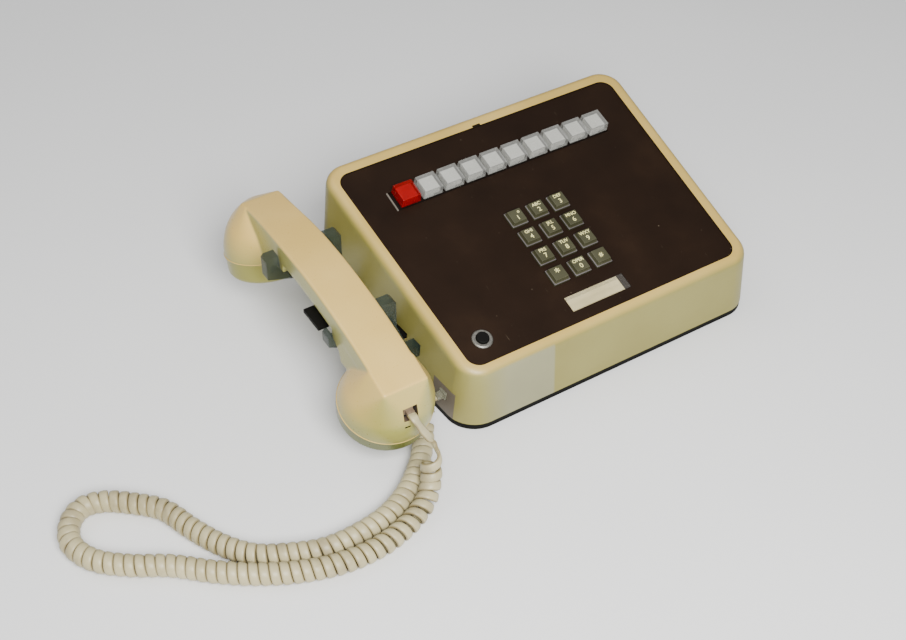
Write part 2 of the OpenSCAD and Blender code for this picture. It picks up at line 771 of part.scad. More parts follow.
// Strip just under the flat top, which a cup rises to
module end_skin(from, to) {
    drop = 0.6;
    arch(from, to) translate([-drop - 1, drop - handle_w / 2]) square([1, handle_w - 2 * drop]);
}

// Web that rounds the inside corner between the handle and a cup
module throat(seam, r, end, fillet, grow = 0) {
    inner = arch_r - handle_t;
    s = seam.x - end * (r + fillet);
    w = sqrt(pow(inner - fillet, 2) - s * s) - arch_r + handset_sag;
    start = s * inner / (inner - fillet);
    finish = s + end * (fillet + r / 2);
    half = handle_w / 4 + grow;
    difference() {
        translate([-half, min(start, finish), w])
            cube([2 * half, abs(finish - start), fillet + handle_t / 2]);
        translate([0, s, w]) rotate([0, 90, 0]) cylinder(r = fillet - grow, h = far, center = true);
    }
}

module handset_shell() {
    end_a = arch_a - 0.1;
    color("#d3c398") difference() {
        union() {
            on_handset() arch(-arch_a, arch_a) handle_section();
            hull() {
                on_ear() translate([0, 0, ear_cap_h]) cup_dome(ear_r);
                on_handset() end_skin(asin(ear_skin_s / arch_r), end_a);
            }
            hull() {
                on_mouth() translate([0, 0, mouth_cap_h]) cup_dome(mouth_r);
                on_handset() end_skin(-end_a, -asin(mouth_skin_s / arch_r));
            }
            on_handset() throat(ear_seam, ear_r, 1, ear_throat_r);
            on_handset() throat(mouth_seam, mouth_r, -1, mouth_throat_r);
            on_ear() translate([0, 0, ear_cap_h]) cylinder(r = ear_r + seam_lip, h = seam_h);
            on_mouth() translate([0, 0, mouth_cap_h]) cylinder(r = mouth_r + seam_lip, h = seam_h);
        }
        on_ear() cup_room(ear_r, ear_cap_h);
        on_mouth() cup_room(mouth_r, mouth_cap_h);
        on_handset() translate([0, 0, -hand_jack_drop]) hand_jack_room();
    }
}

// Room for a capsule and for the cap's collar; what is below the seam is cut away
module cup_room(r, cap_h) {
    translate([0, 0, cap_h - eps]) cylinder(r = r - cup_wall, h = collar_h + 2);
    translate([0, 0, cap_h - eps]) cylinder(r = capsule_r + 2, h = capsule_h + 2);
    translate([0, 0, cap_h - far]) cylinder(r = r + 2, h = far);
}
capsule_r = 18;
capsule_h = 14;

module hand_jack_room() {
    w = plug_w + 4 * plug_gap + 2 * jack_wall;
    h = plug_h + 4 * plug_gap + 2 * jack_wall;
    translate([-w / 2, hand_jack_face - far, -h / 2]) cube([w, far + hand_jack_d + plug_gap, h]);
}

// Screw cap with a round edge, a collar and sound holes
module cap(r, h) {
    round_r = 5;
    collar_r = r - cup_wall - collar_gap;
    turn = [for (a = [-90:18:0]) [r - round_r + round_r * cos(a), round_r + round_r * sin(a)]];
    inside = [[collar_r, h], [collar_r, h + collar_h], [collar_r - collar_t, h + collar_h],
        [collar_r - collar_t, face_t], [0, face_t]];
    difference() {
        rotate_extrude() polygon(concat([[0, 0]], turn, [[r, h]], inside));
        for (k = [0:6]) rotate([0, 0, 60 * k]) translate([k == 0 ? 0 : sound_ring, 0, -1])
            cylinder(r = sound_r, h = face_t + 2, $fn = 24);
    }
}
module ear_cap() { color("#cdbd92") on_ear() cap(ear_r - seam_lip, ear_cap_h); }
module mouth_cap() { color("#cdbd92") on_mouth() cap(mouth_r - seam_lip, mouth_cap_h); }

// Capsule that rests on a cap's face: a wide drum and a narrower back
module capsule(r, h) {
    drum_r = r - seam_lip - cup_wall - collar_gap - collar_t - 0.5;
    translate([0, 0, face_t]) cylinder(r = drum_r, h = h - face_t);
    translate([0, 0, h - eps]) cylinder(r = capsule_r, h = capsule_h);
}
module receiver_unit() { color("#8f8f8a") on_ear() capsule(ear_r, ear_cap_h); }
module transmitter_unit() { color("#3a3936") on_mouth() capsule(mouth_r, mouth_cap_h); }

// Cradle

// Room that the handle needs in a yoke
module handle_room() {
    on_handset() {
        arch(-arch_a, arch_a) handle_section(rest_gap);
        throat(ear_seam, ear_r, 1, ear_throat_r, rest_gap);
        throat(mouth_seam, mouth_r, -1, mouth_throat_r, rest_gap);
    }
}

// Yoke: two ears round the handle on a neck that bends down, passes the wall and stands on the base
module yoke(y, out_w, out_rise) {
    seat = under_z(y);
    low = seat - seat_t;
    arm_top = arm_z + arm_t / 2;
    arm_low = arm_z - arm_t / 2;
    bevel = 2;
    neck = yoke_half_w + neck_out;
    foot = [wall_x(y, arm_z) - hand_x + 2 * wall, wall_x(y, arm_z) - hand_x + 2 * wall + arm_t];
    outline = [
        [-out_w, seat - bevel], [-out_w, seat + out_rise - bevel], [-out_w + bevel, seat + out_rise],
        [-handle_r, seat + out_rise], [handle_r, seat + ear_rise],
        [yoke_half_w - bevel, seat + ear_rise], [yoke_half_w, seat + ear_rise - bevel],
        [yoke_half_w, low], [neck, arm_top], [foot[1], arm_top], [foot[1], shell_z],
        [foot[0], shell_z], [foot[0], arm_low], [neck - arm_t, arm_low],
        [handle_r + 2, low - 2], [-handle_r - 2, low]
    ];
    difference() {
        on_body() translate([hand_x, y + yoke_t / 2, 0]) rotate([90, 0, 0])
            linear_extrude(yoke_t) polygon(outline);
        handle_room();
    }
}
module cradle_yoke_back() { color("#3d4a44", 0.7) yoke(back_yoke_y, back_out_w, ear_rise); }
module cradle_yoke_front() { color("#3d4a44", 0.7) yoke(front_yoke_y, lip_half_w, lip_rise); }

// Lever under the handle: its end shows beyond the handle, its neck passes the wall to the pivot
lever_top = under_z(lever_y - lever_w / 2) - rest_gap;
pivot_x = hand_x + pivot_in;
module hook_lever() {
    tail = pivot_in + tail_in;
    bend = yoke_half_w + bend_out;
    low = arm_z - lever_t / 2;
    high = arm_z + lever_t / 2;
    outline = [
        [-lever_out, lever_top - lever_t], [-lever_out, lever_top], [lever_out, lever_top],
        [bend + lever_t, high], [tail, high], [tail, low], [bend, low],
        [lever_out - lever_t, lever_top - lever_t]
    ];
    color("#15140f") {
        difference() {
            on_body() translate([hand_x, lever_y + lever_w / 2, 0]) rotate([90, 0, 0])
                linear_extrude(lever_w) polygon(outline);
            handle_room();
        }
        on_body() translate([pivot_x, lever_y, arm_z]) rotate([90, 0, 0])
            cylinder(r = pin_r, h = lever_w + 2 * ear_span, center = true);
    }
}
ear_span = 4;

// Bracket with two pivot ears, and the switch that the lever's tail works
module hook_switch() {
    gap = 0.6;
    ear_t = ear_span - gap;
    ear_w = 6 * pin_r;
    span = lever_w + 2 * ear_span;
    plunger = 1.2;
    color("#4a4a48") on_body() translate([pivot_x, lever_y, 0]) {
        difference() {
            for (k = [-1, 1]) translate([-ear_w / 2, k * (span / 2 - ear_t / 2) - ear_t / 2, shell_z])
                cube([ear_w, ear_t, arm_z + ear_w / 2 - shell_z]);
            translate([0, 0, arm_z]) rotate([90, 0, 0])
                cylinder(r = pin_r + pin_gap, h = far, center = true);
        }
        translate([-ear_w / 2, -span / 2, shell_z]) cube([2 * ear_w, span, 3]);
        translate([ear_w / 2 + 1, -lever_w / 4, shell_z])
            cube([ear_w, lever_w / 2, arm_z - lever_t / 2 - plunger - 3 - shell_z]);
        translate([ear_w * 0.75, 0, shell_z])
            cylinder(r = 1.5, h = arm_z - lever_t / 2 - plunger - shell_z);
    }
}

// Cord

// Route of the cord's middle from the handset plug to the base plug, measured from the body's middle
cord_route = [
    [-181, -113.3, 65.2], [-181, -118.5, 64.8], [-179, -122, 58], [-174, -124, 46], [-169.5, -126, 34],
    [-167, -128, 24], [-168, -131, 15.5], [-174, -136, 10], [-185, -142.5, 8], [-205, -151, 8],
    [-230, -157, 8], [-258, -156, 8], [-286, -149, 8], [-312, -137, 8], [-333, -120, 8], [-354, -101, 8],
    [-376, -86, 8], [-394, -70, 8], [-402, -51, 8], [-397, -34, 8], [-385, -25, 8], [-370, -28, 8],
    [-355, -41, 8], [-341, -59, 8], [-330, -79, 8], [-318, -100, 8], [-302, -117, 8], [-283, -129, 8],
    [-262, -137, 8], [-239, -140, 8], [-215, -137, 8], [-194, -127, 8], [-177, -113, 8], [-166, -101, 8],
    [-158, -90, 9.5], [-153, -81, 13], [-149, -75, 18], [-143, -72, 20.5], [-137.5, -72, 20.5]
];
// Straight length at the two ends before the curls begin, and the length over which they open
cord_lead = 36;
cord_tail = 24;
curl_open = 12;

// Smooth curve through the route
STEPS = 8;
LAST = len(cord_route) - 1;
function route_point(i) = i < 0 ? 2 * cord_route[0] - cord_route[1]
    : i > LAST ? 2 * cord_route[LAST] - cord_route[LAST - 1] : cord_route[i];
function curve(a, b, c, d, t) = (2 * b + (c - a) * t + (2 * a - 5 * b + 4 * c - d) * t * t
    + (3 * b - a - 3 * c + d) * t * t * t) / 2;
function route_curve() = concat(
    [for (i = [0:LAST - 1], k = [0:STEPS - 1])
        curve(route_point(i - 1), route_point(i), route_point(i + 1), route_point(i + 2), k / STEPS)],
    [cord_route[LAST]]
);
function step_l(p, i) = i + 1 < len(p) ? norm(p[i + 1] - p[i]) : 0;
function lengths(p) = [for (i = 0, s = 0; i < len(p); s = s + step_l(p, i), i = i + 1) s];
function axis_table(p, s, k) = [for (i = [0:len(p) - 1]) [s[i], p[i][k]]];
function unit(v) = v / norm(v);
function smooth(t) = t <= 0 ? 0 : t >= 1 ? 1 : t * t * (3 - 2 * t);

// Cord as one tube: six-sided rings, eight to a curl
SIDES = 6;
RINGS = 8;
module handset_cord() {
    path = route_curve();
    s = lengths(path);
    total = s[len(s) - 1];
    tx = axis_table(path, s, 0);
    ty = axis_table(path, s, 1);
    tz = axis_table(path, s, 2);
    function at(d) = [lookup(d, tx), lookup(d, ty), lookup(d, tz)];
    function along(d) = unit(at(min(d + 1.5, total)) - at(max(d - 1.5, 0)));
    function across(d) = unit(cross([0, 0, 1], along(d)));
    curl_r = (curl_d - cord_t) / 2;
    first = cord_lead;
    run = total - cord_lead - cord_tail;
    lead = [for (k = [0:7]) first * k / 8];
    tail = [for (k = [1:6]) first + run + cord_tail * k / 6];
    turn = [for (k = [0:curls * RINGS]) first + run * k / RINGS / curls];
    place = concat(lead, turn, tail);
    curled = [for (k = [0:curls * RINGS]) 360 * k / RINGS];
    angle = concat([for (d = lead) 0], curled, [for (d = tail) 0]);
    function open(d) = smooth((d - first) / curl_open) * smooth((first + run - d) / curl_open);
    middle = [for (i = [0:len(place) - 1]) let(d = place[i], n = across(d), b = cross(along(d), n))
        at(d) + curl_r * open(d) * (n * cos(angle[i]) + b * sin(angle[i]))];
    last = len(middle) - 1;
    ahead = [for (i = [0:last]) unit(middle[min(i + 1, last)] - middle[max(i - 1, 0)])];
    wide = [for (i = [0:last]) let(d = place[i], q = open(d), u = along(d) * q + across(d) * (1 - q))
        unit(u - (u * ahead[i]) * ahead[i])];
    thick = [for (i = [0:last]) cross(ahead[i], wide[i])];
    points = [for (i = [0:last], k = [0:SIDES - 1]) let(a = 360 * k / SIDES)
        middle[i] + wide[i] * cord_w / 2 * cos(a) + thick[i] * cord_t / 2 / sin(60) * sin(a)];
    sides = [for (i = [0:last - 1], k = [0:SIDES - 1], half = [0, 1]) let(n = (k + 1) % SIDES)
        half == 0 ? [i * SIDES + k, (i + 1) * SIDES + n, i * SIDES + n]
            : [i * SIDES + k, (i + 1) * SIDES + k, (i + 1) * SIDES + n]];
    end = last * SIDES;
    ends = [for (k = [1:SIDES - 2]) each [[0, k, k + 1], [end, end + k + 1, end + k]]];
    // Least gap of the cord to itself: between neighbouring curls, and between the two strands
    near = [for (i = [len(lead):last - len(tail) - RINGS - 3], j = [RINGS - 3:RINGS + 2], h = [0, 0.5])
        norm(middle[i] + wide[i] * cord_w / 2
            - (middle[i + j] - wide[i + j] * cord_w / 2) * (1 - h)
            - (middle[i + j + 1] - wide[i + j + 1] * cord_w / 2) * h)];
    strands = [for (i = [0:len(path) - 1], j = [i + 1:len(path) - 1])
        if (s[j] - s[i] > 4 * curl_d) norm(path[j] - path[i]) - curl_d];
    echo(cord_length = sum_of(middle), curl_gap = min(near), strand_gap = min(strands));
    color("#c4b9a0") on_body() polyhedron(points, concat(sides, ends));
}
function sum_of(p) = let(s = lengths(p)) s[len(s) - 1];

housing();
base_plate();
rubber_feet();
base_screws();
faceplate();
line_key_frame();
keypad_frame();
keypad_board();
main_board();
ringer();
card_window();
number_card();
button_switch();
push_button();
jack_plate();
cradle_yoke_back();
cradle_yoke_front();
hook_lever();
hook_switch();
handset_shell();
ear_cap();
mouth_cap();
receiver_unit();
transmitter_unit();
handset_jack();
handset_plug();
base_plug();
handset_cord();
for (i = [0:ROW - 1]) {
    line_key(i);
    line_cap(i);
}
for (i = [0:PAD.x * PAD.y - 1]) number_key(i);
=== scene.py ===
import bisect
import math

import bpy
from mathutils import Matrix, Vector


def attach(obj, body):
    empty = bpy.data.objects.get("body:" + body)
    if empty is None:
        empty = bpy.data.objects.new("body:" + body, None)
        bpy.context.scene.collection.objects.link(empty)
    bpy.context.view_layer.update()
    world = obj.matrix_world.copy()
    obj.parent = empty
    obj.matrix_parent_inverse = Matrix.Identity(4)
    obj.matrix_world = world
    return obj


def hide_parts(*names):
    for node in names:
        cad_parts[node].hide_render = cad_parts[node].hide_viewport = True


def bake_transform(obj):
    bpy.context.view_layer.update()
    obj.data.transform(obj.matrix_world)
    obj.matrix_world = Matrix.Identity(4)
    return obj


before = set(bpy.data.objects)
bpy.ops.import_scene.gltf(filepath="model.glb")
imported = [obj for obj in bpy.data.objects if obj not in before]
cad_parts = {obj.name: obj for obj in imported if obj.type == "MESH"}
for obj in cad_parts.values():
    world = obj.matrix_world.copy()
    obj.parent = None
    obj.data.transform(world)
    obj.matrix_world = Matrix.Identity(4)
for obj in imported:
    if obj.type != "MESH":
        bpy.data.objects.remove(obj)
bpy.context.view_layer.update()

# Camera
# The telephone is seen from the front left and from above, through a short telephoto lens, so that the
# walls still draw together a little towards the desk.
camera_data = bpy.data.cameras.new("camera")
camera_data.lens = 55.63
camera_data.sensor_width = 36.0
camera = bpy.data.objects.new("camera", camera_data)
camera.location = (-0.4586, -0.6647, 0.7438)
camera.rotation_euler = [math.radians(a) for a in (46.5, -0.46, -32.01)]
bpy.context.scene.collection.objects.link(camera)
bpy.context.scene.camera = camera


# Handset cord
# A flat vinyl-jacketed cord, wound hot on a rod so that it keeps its curls. It leaves the handset's jack,
# lies on the desk in one long loop and runs back to the jack in the left wall.
BODY = Vector((0.034995, -0.010195, 0.0))
# The middle line of the coil, from the handset's jack to the wall's, measured from the faceplate's middle.
CORD_ROUTE = [
    (-0.181, -0.1133, 0.0652), (-0.181, -0.1175, 0.0648), (-0.1787, -0.1205, 0.058),
    (-0.1769, -0.1235, 0.050), (-0.1756, -0.1257, 0.041), (-0.1752, -0.1277, 0.032),
    (-0.1764, -0.1303, 0.0235), (-0.1791, -0.1340, 0.0165), (-0.185, -0.1398, 0.0115),
    (-0.194, -0.1455, 0.009), (-0.2075, -0.1515, 0.008), (-0.230, -0.157, 0.008),
    (-0.258, -0.156, 0.008), (-0.2852, -0.1478, 0.008), (-0.3105, -0.1345, 0.008),
    (-0.3322, -0.1188, 0.008), (-0.3535, -0.1002, 0.008), (-0.376, -0.086, 0.008),
    (-0.394, -0.070, 0.008), (-0.402, -0.051, 0.008), (-0.397, -0.034, 0.008), (-0.385, -0.025, 0.008),
    (-0.370, -0.028, 0.008), (-0.3542, -0.0398, 0.008), (-0.339, -0.0557, 0.008),
    (-0.330, -0.079, 0.008), (-0.319, -0.1016, 0.008), (-0.304, -0.1203, 0.008),
    (-0.2845, -0.1315, 0.008), (-0.2635, -0.1395, 0.008), (-0.2395, -0.1408, 0.008),
    (-0.215, -0.137, 0.008), (-0.194, -0.127, 0.008), (-0.177, -0.113, 0.008), (-0.166, -0.101, 0.008),
    (-0.158, -0.090, 0.0095), (-0.153, -0.081, 0.013), (-0.149, -0.075, 0.018), (-0.143, -0.072, 0.0205),
    (-0.1375, -0.072, 0.0205),
]
ROUTE_STEPS, DIRECTION_REACH = 8, 0.0015
CURLS, CURL_D = 93, 0.015
# The strand's width and thickness, and how square its section is each way.
CORD_W, CORD_T = 0.0066, 0.0029
SQUARE_W, SQUARE_T = 0.72, 0.9
# The straight ends. Over the open stretches the cord swings out to its curls, and then it starts to wind.
CORD_LEAD, CORD_TAIL = 0.047, 0.024
LEAD_OPEN, TAIL_OPEN, WIND_UP = (0.010, 0.034), (0.004, 0.014), 0.016
# The first curls hang apart by this share of the winding, and close up again over this stretch.
SLACK, SLACK_END = 0.16, (0.085, 0.135)
# The strand leans in its curls, so that each overlaps the next like a tile.
CURL_LEAN = math.radians(8)
RINGS_PER_CURL, CORD_SIDES = 26, 14


def smooth_route(points, steps):
    """Points of the smooth curve through the route's points."""
    points = [2 * points[0] - points[1], *points, 2 * points[-1] - points[-2]]
    curve = []
    for a, b, c, d in zip(points, points[1:], points[2:], points[3:]):
        for k in range(steps):
            t = k / steps
            curve.append((2 * b + (c - a) * t + (2 * a - 5 * b + 4 * c - d) * t ** 2
                          + (3 * b - a - 3 * c + d) * t ** 3) / 2)
    return curve + [points[-2]]


def rise(t):
    """0 to 1 with an easy start and finish."""
    t = min(max(t, 0.0), 1.0)
    return t * t * (3 - 2 * t)


cord_curve = smooth_route([Vector(p) + BODY for p in CORD_ROUTE], ROUTE_STEPS)
cord_run = [0.0]
for here, there in zip(cord_curve, cord_curve[1:]):
    cord_run.append(cord_run[-1] + (there - here).length)


def cord_at(d):
    """Point of the route at a distance along it."""
    i = min(max(bisect.bisect_right(cord_run, d) - 1, 0), len(cord_curve) - 2)
    t = (d - cord_run[i]) / (cord_run[i + 1] - cord_run[i])
    return cord_curve[i].lerp(cord_curve[i + 1], min(max(t, 0.0), 1.0))


def cord_along(d):
    """Direction of the route."""
    ahead = cord_at(min(d + DIRECTION_REACH, cord_run[-1]))
    return (ahead - cord_at(max(d - DIRECTION_REACH, 0.0))).normalized()


def cord_across(d):
    """Level direction across the route."""
    return Vector((0, 0, 1)).cross(cord_along(d)).normalized()


def curl_rim(d, angle):
    """Direction from the route to the rim of a curl."""
    side = cord_across(d)
    return side * math.cos(angle) + cord_along(d).cross(side) * math.sin(angle)


def curl_open(d):
    """How far the cord has moved out to the rim of its curls, from 0 at either plug to 1."""
    left = cord_run[-1] - d
    return (rise((d - LEAD_OPEN[0]) / (LEAD_OPEN[1] - LEAD_OPEN[0]))
            * rise((left - TAIL_OPEN[0]) / (TAIL_OPEN[1] - TAIL_OPEN[0])))


def winding(d):
    """How fast the cord winds, from 0 in the straight ends to 1 in the curls. The first ones hang apart."""
    slack = 1 - SLACK * (1 - rise((d - SLACK_END[0]) / (SLACK_END[1] - SLACK_END[0])))
    return slack * rise((d - LEAD_OPEN[1]) / WIND_UP) * rise((cord_run[-1] - d - TAIL_OPEN[1]) / WIND_UP)


curl_pitch = (cord_run[-1] - CORD_LEAD - CORD_TAIL) / CURLS
rings = round(cord_run[-1] / curl_pitch * RINGS_PER_CURL)
ring_step = cord_run[-1] / rings
stations = []
angle = 0.0
for k in range(rings + 1):
    stations.append((k * ring_step, angle))
    angle += winding(k * ring_step) * 2 * math.pi * ring_step / curl_pitch
cord_path = []
for d, angle in stations:
    radius = (CURL_D - CORD_T) / 2 * curl_open(d)
    cord_path.append(cord_at(d) + radius * curl_rim(d, angle))

cord_points, cord_faces, cord_span = [], [], []
for i, (d, angle) in enumerate(stations):
    ahead = (cord_path[min(i + 1, len(cord_path) - 1)] - cord_path[max(i - 1, 0)]).normalized()
    opened = curl_open(d)
    tiled = cord_along(d) * math.cos(CURL_LEAN) + curl_rim(d, angle) * math.sin(CURL_LEAN)
    wide = tiled * opened + cord_across(d) * (1 - opened)
    wide = (wide - ahead * wide.dot(ahead)).normalized()
    thick = ahead.cross(wide)
    for k in range(CORD_SIDES):
        a = 2 * math.pi * k / CORD_SIDES
        x = math.copysign(abs(math.cos(a)) ** SQUARE_W, math.cos(a)) * CORD_W / 2
        y = math.copysign(abs(math.sin(a)) ** SQUARE_T, math.sin(a)) * CORD_T / 2
        cord_points.append(cord_path[i] + wide * x + thick * y)
        cord_span.append(x / CORD_W + 0.5)
for i in range(len(stations) - 1):
    for k in range(CORD_SIDES):
        n = (k + 1) % CORD_SIDES
        a, b = i * CORD_SIDES, (i + 1) * CORD_SIDES
        cord_faces.append((a + k, a + n, b + n, b + k))
cord_faces.append(tuple(range(CORD_SIDES - 1, -1, -1)))
cord_faces.append(tuple((len(stations) - 1) * CORD_SIDES + k for k in range(CORD_SIDES)))
cord_mesh = bpy.data.meshes.new("curly_cord")
cord_mesh.from_pydata(cord_points, [], cord_faces)
cord_mesh.attributes.new("across", "FLOAT", "POINT").data.foreach_set("value", cord_span)
cord_mesh.shade_smooth()
curly_cord = bpy.data.objects.new("curly_cord", cord_mesh)
bpy.context.scene.collection.objects.link(curly_cord)


def linear(colour):
    """An sRGB hex colour as the linear values that a shader takes."""
    parts = [int(colour[i:i + 2], 16) / 255 for i in (1, 3, 5)]
    return (*[c / 12.92 if c <= 0.04045 else ((c + 0.055) / 1.055) ** 2.4 for c in parts], 1.0)


def add(tree, kind, settings=None, links=None):
    """One node with its settings, and its links as input: (node, output)."""
    made = tree.nodes.new(kind)
    for name, value in (settings or {}).items():
        if name == "ramp":
            stops = made.color_ramp.elements
            while len(stops) < len(value):
                stops.new(0.5)
            for stop, (place, colour) in zip(stops, value):
                stop.position, stop.color = place, linear(colour)
        elif name in made.inputs:
            made.inputs[name].default_value = value
        else:
            setattr(made, name, value)
    for name, (source, output) in (links or {}).items():
        tree.links.new(source.outputs[output], made.inputs[name])
    return made


def empty_material(name):
    """A new material with no nodes in it yet."""
    made = bpy.data.materials.new(name)
    made.use_nodes = True
    made.node_tree.nodes.clear()
    return made


# Extruded soft vinyl: satin, and greyed by handling in patches of 20 mm or so. Where two curls
# meet, at the edges of the flat cord, it is drawn darker. The skin's grain is about 1.5 mm.
vinyl = empty_material("extruded_soft_vinyl")
tree = vinyl.node_tree
where = add(tree, "ShaderNodeTexCoord")
handling = add(tree, "ShaderNodeTexNoise", {"Scale": 45.0, "Detail": 4.0}, {"Vector": (where, "Object")})
tone = add(tree, "ShaderNodeValToRGB", {"ramp": [(0.3, "#908566"), (0.46, "#aba17b"), (0.8, "#bab08a")]},
           {"Fac": (handling, "Fac")})
edge = add(tree, "ShaderNodeAttribute", {"attribute_name": "across"})
EDGE_DARKENING = [(0.0, "#a59674"), (0.16, "#ffffff"), (0.84, "#ffffff"), (1.0, "#a59674")]
near_edge = add(tree, "ShaderNodeValToRGB", {"ramp": EDGE_DARKENING}, {"Fac": (edge, "Fac")})
edge_darkened = add(tree, "ShaderNodeMix", {"data_type": "RGBA", "blend_type": "MULTIPLY"},
             {6: (tone, "Color"), 7: (near_edge, "Color")})
edge_darkened.inputs[0].default_value = 0.8
skin = add(tree, "ShaderNodeTexNoise", {"Scale": 700.0, "Detail": 2.0}, {"Vector": (where, "Object")})
bump = add(tree, "ShaderNodeBump", {"Strength": 0.12, "Distance": 0.0003}, {"Height": (skin, "Fac")})
shader = add(tree, "ShaderNodeBsdfPrincipled", {"Roughness": 0.42, "IOR": 1.53, "Specular IOR Level": 0.4},
             {"Base Color": (edge_darkened, 2), "Normal": (bump, "Normal")})
add(tree, "ShaderNodeOutputMaterial", links={"Surface": (shader, "BSDF")})
cord_mesh.materials.append(vinyl)

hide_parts("handset_cord")
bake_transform(curly_cord)


WELD, LEVEL_WITHIN = 0.00001, math.radians(0.5)
SHARP_FROM, SMOOTH_TO = math.radians(28), math.radians(32)


def tool_copy(node, name, edge, segments=2):
    """The piece as its mould leaves it: the part's own form, with every sharp edge rounded."""
    made = bpy.data.objects.new(name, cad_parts[node].data.copy())
    made.data.materials.clear()
    bpy.context.scene.collection.objects.link(made)
    bpy.ops.object.select_all(action="DESELECT")
    made.select_set(True)
    bpy.context.view_layer.objects.active = made
    bpy.ops.object.mode_set(mode="EDIT")
    bpy.ops.mesh.select_all(action="SELECT")
    bpy.ops.mesh.remove_doubles(threshold=WELD)
    bpy.ops.mesh.dissolve_limited(angle_limit=LEVEL_WITHIN)
    bpy.ops.mesh.select_all(action="DESELECT")
    bpy.ops.mesh.edges_select_sharp(sharpness=SHARP_FROM)
    bpy.ops.mesh.bevel(offset=edge, segments=segments, clamp_overlap=True)
    bpy.ops.object.mode_set(mode="OBJECT")
    bpy.ops.object.shade_smooth_by_angle(angle=SMOOTH_TO)
    level = made.modifiers.new("level_faces", "WEIGHTED_NORMAL")
    level.weight = 100
    level.keep_sharp = True
    bpy.ops.object.modifier_apply(modifier="level_faces")
    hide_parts(node)
    return made


def moulded(node, name, edge, finish, body):
    """A tool copy in one finish, on the body that it moves with."""
    made = tool_copy(node, name, edge)
    made.data.materials.append(finish)
    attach(made, body)
    return made


def clear_plastic(name, tint, opacity, gloss, haze_mm):
    """See-through plastic, hazed by handling: a thin veil of its own colour over what lies behind it."""
    made = empty_material(name)
    tree = made.node_tree
    where = add(tree, "ShaderNodeTexCoord")
    haze = add(tree, "ShaderNodeTexNoise", {"Scale": 1000.0 / haze_mm, "Detail": 3.0},
               {"Vector": (where, "Object")})
    tone = add(tree, "ShaderNodeValToRGB", {"ramp": list(zip((0.3, 0.7), tint))}, {"Fac": (haze, "Fac")})
    shine = add(tree, "ShaderNodeMapRange", {"To Min": gloss - 0.05, "To Max": gloss + 0.05},
                {"Value": (haze, "Fac")})
    shader = add(tree, "ShaderNodeBsdfPrincipled", {"IOR": 1.5, "Alpha": opacity},
                 {"Base Color": (tone, "Color"), "Roughness": (shine, "Result")})
    add(tree, "ShaderNodeOutputMaterial", links={"Surface": (shader, "BSDF")})
    return made


# The two modular plugs are moulded in clear polycarbonate on the ends of the cord. Both have browned, the
# handset's more.
for node, body, tint, opacity in (("handset_plug", "handset", ("#77654f", "#8f7b65"), 0.8),
                                  ("base_plug", "base", ("#6c6b58", "#868471"), 0.6)):
    polycarbonate = clear_plastic("polycarbonate_" + node, tint, opacity, 0.2, 4.0)
    moulded(node, "clear_" + node, 0.0004, polycarbonate, body)


# Floor and light
# A pale paper sweep. One soft light stands close to the viewer, so that it falls off towards the back, and a
# large weak one lights the room from behind on the left.
LIGHTS_AIM = Vector((0, 0, 0.04))
sweep_mesh = bpy.data.meshes.new("studio_floor")
sweep_mesh.from_pydata([(-6, -6, 0), (6, -6, 0), (6, 6, 0), (-6, 6, 0)], [], [(0, 1, 2, 3)])
studio_floor = bpy.data.objects.new("studio_floor", sweep_mesh)
bpy.context.scene.collection.objects.link(studio_floor)
paper = empty_material("matt_pale_paper")
tree = paper.node_tree
where = add(tree, "ShaderNodeTexCoord")
fibre = add(tree, "ShaderNodeTexNoise", {"Scale": 3.0, "Detail": 2.0}, {"Vector": (where, "Object")})
tone = add(tree, "ShaderNodeValToRGB", {"ramp": [(0.3, "#e2e2e1"), (0.7, "#e6e6e5")]},
           {"Fac": (fibre, "Fac")})
shader = add(tree, "ShaderNodeBsdfPrincipled", {"Roughness": 0.9}, {"Base Color": (tone, "Color")})
add(tree, "ShaderNodeOutputMaterial", links={"Surface": (shader, "BSDF")})
sweep_mesh.materials.append(paper)
world = bpy.data.worlds.new("soft_room")
world.use_nodes = True
world.node_tree.nodes["Background"].inputs["Color"].default_value = linear("#f4f5f7")
world.node_tree.nodes["Background"].inputs["Strength"].default_value = 0.42
bpy.context.scene.world = world
for name, place, size, power in (("key_light", (-0.38, -0.92, 0.95), 0.6, 37.0),
                                 ("room_light", (-1.0, 1.0, 2.4), 2.0, 20.0)):
    lamp_data = bpy.data.lights.new(name, "AREA")
    lamp_data.size = size
    lamp_data.energy = power
    lamp = bpy.data.objects.new(name, lamp_data)
    lamp.location = place
    lamp.rotation_euler = (LIGHTS_AIM - Vector(place)).to_track_quat("-Z", "Y").to_euler()
    bpy.context.scene.collection.objects.link(lamp)


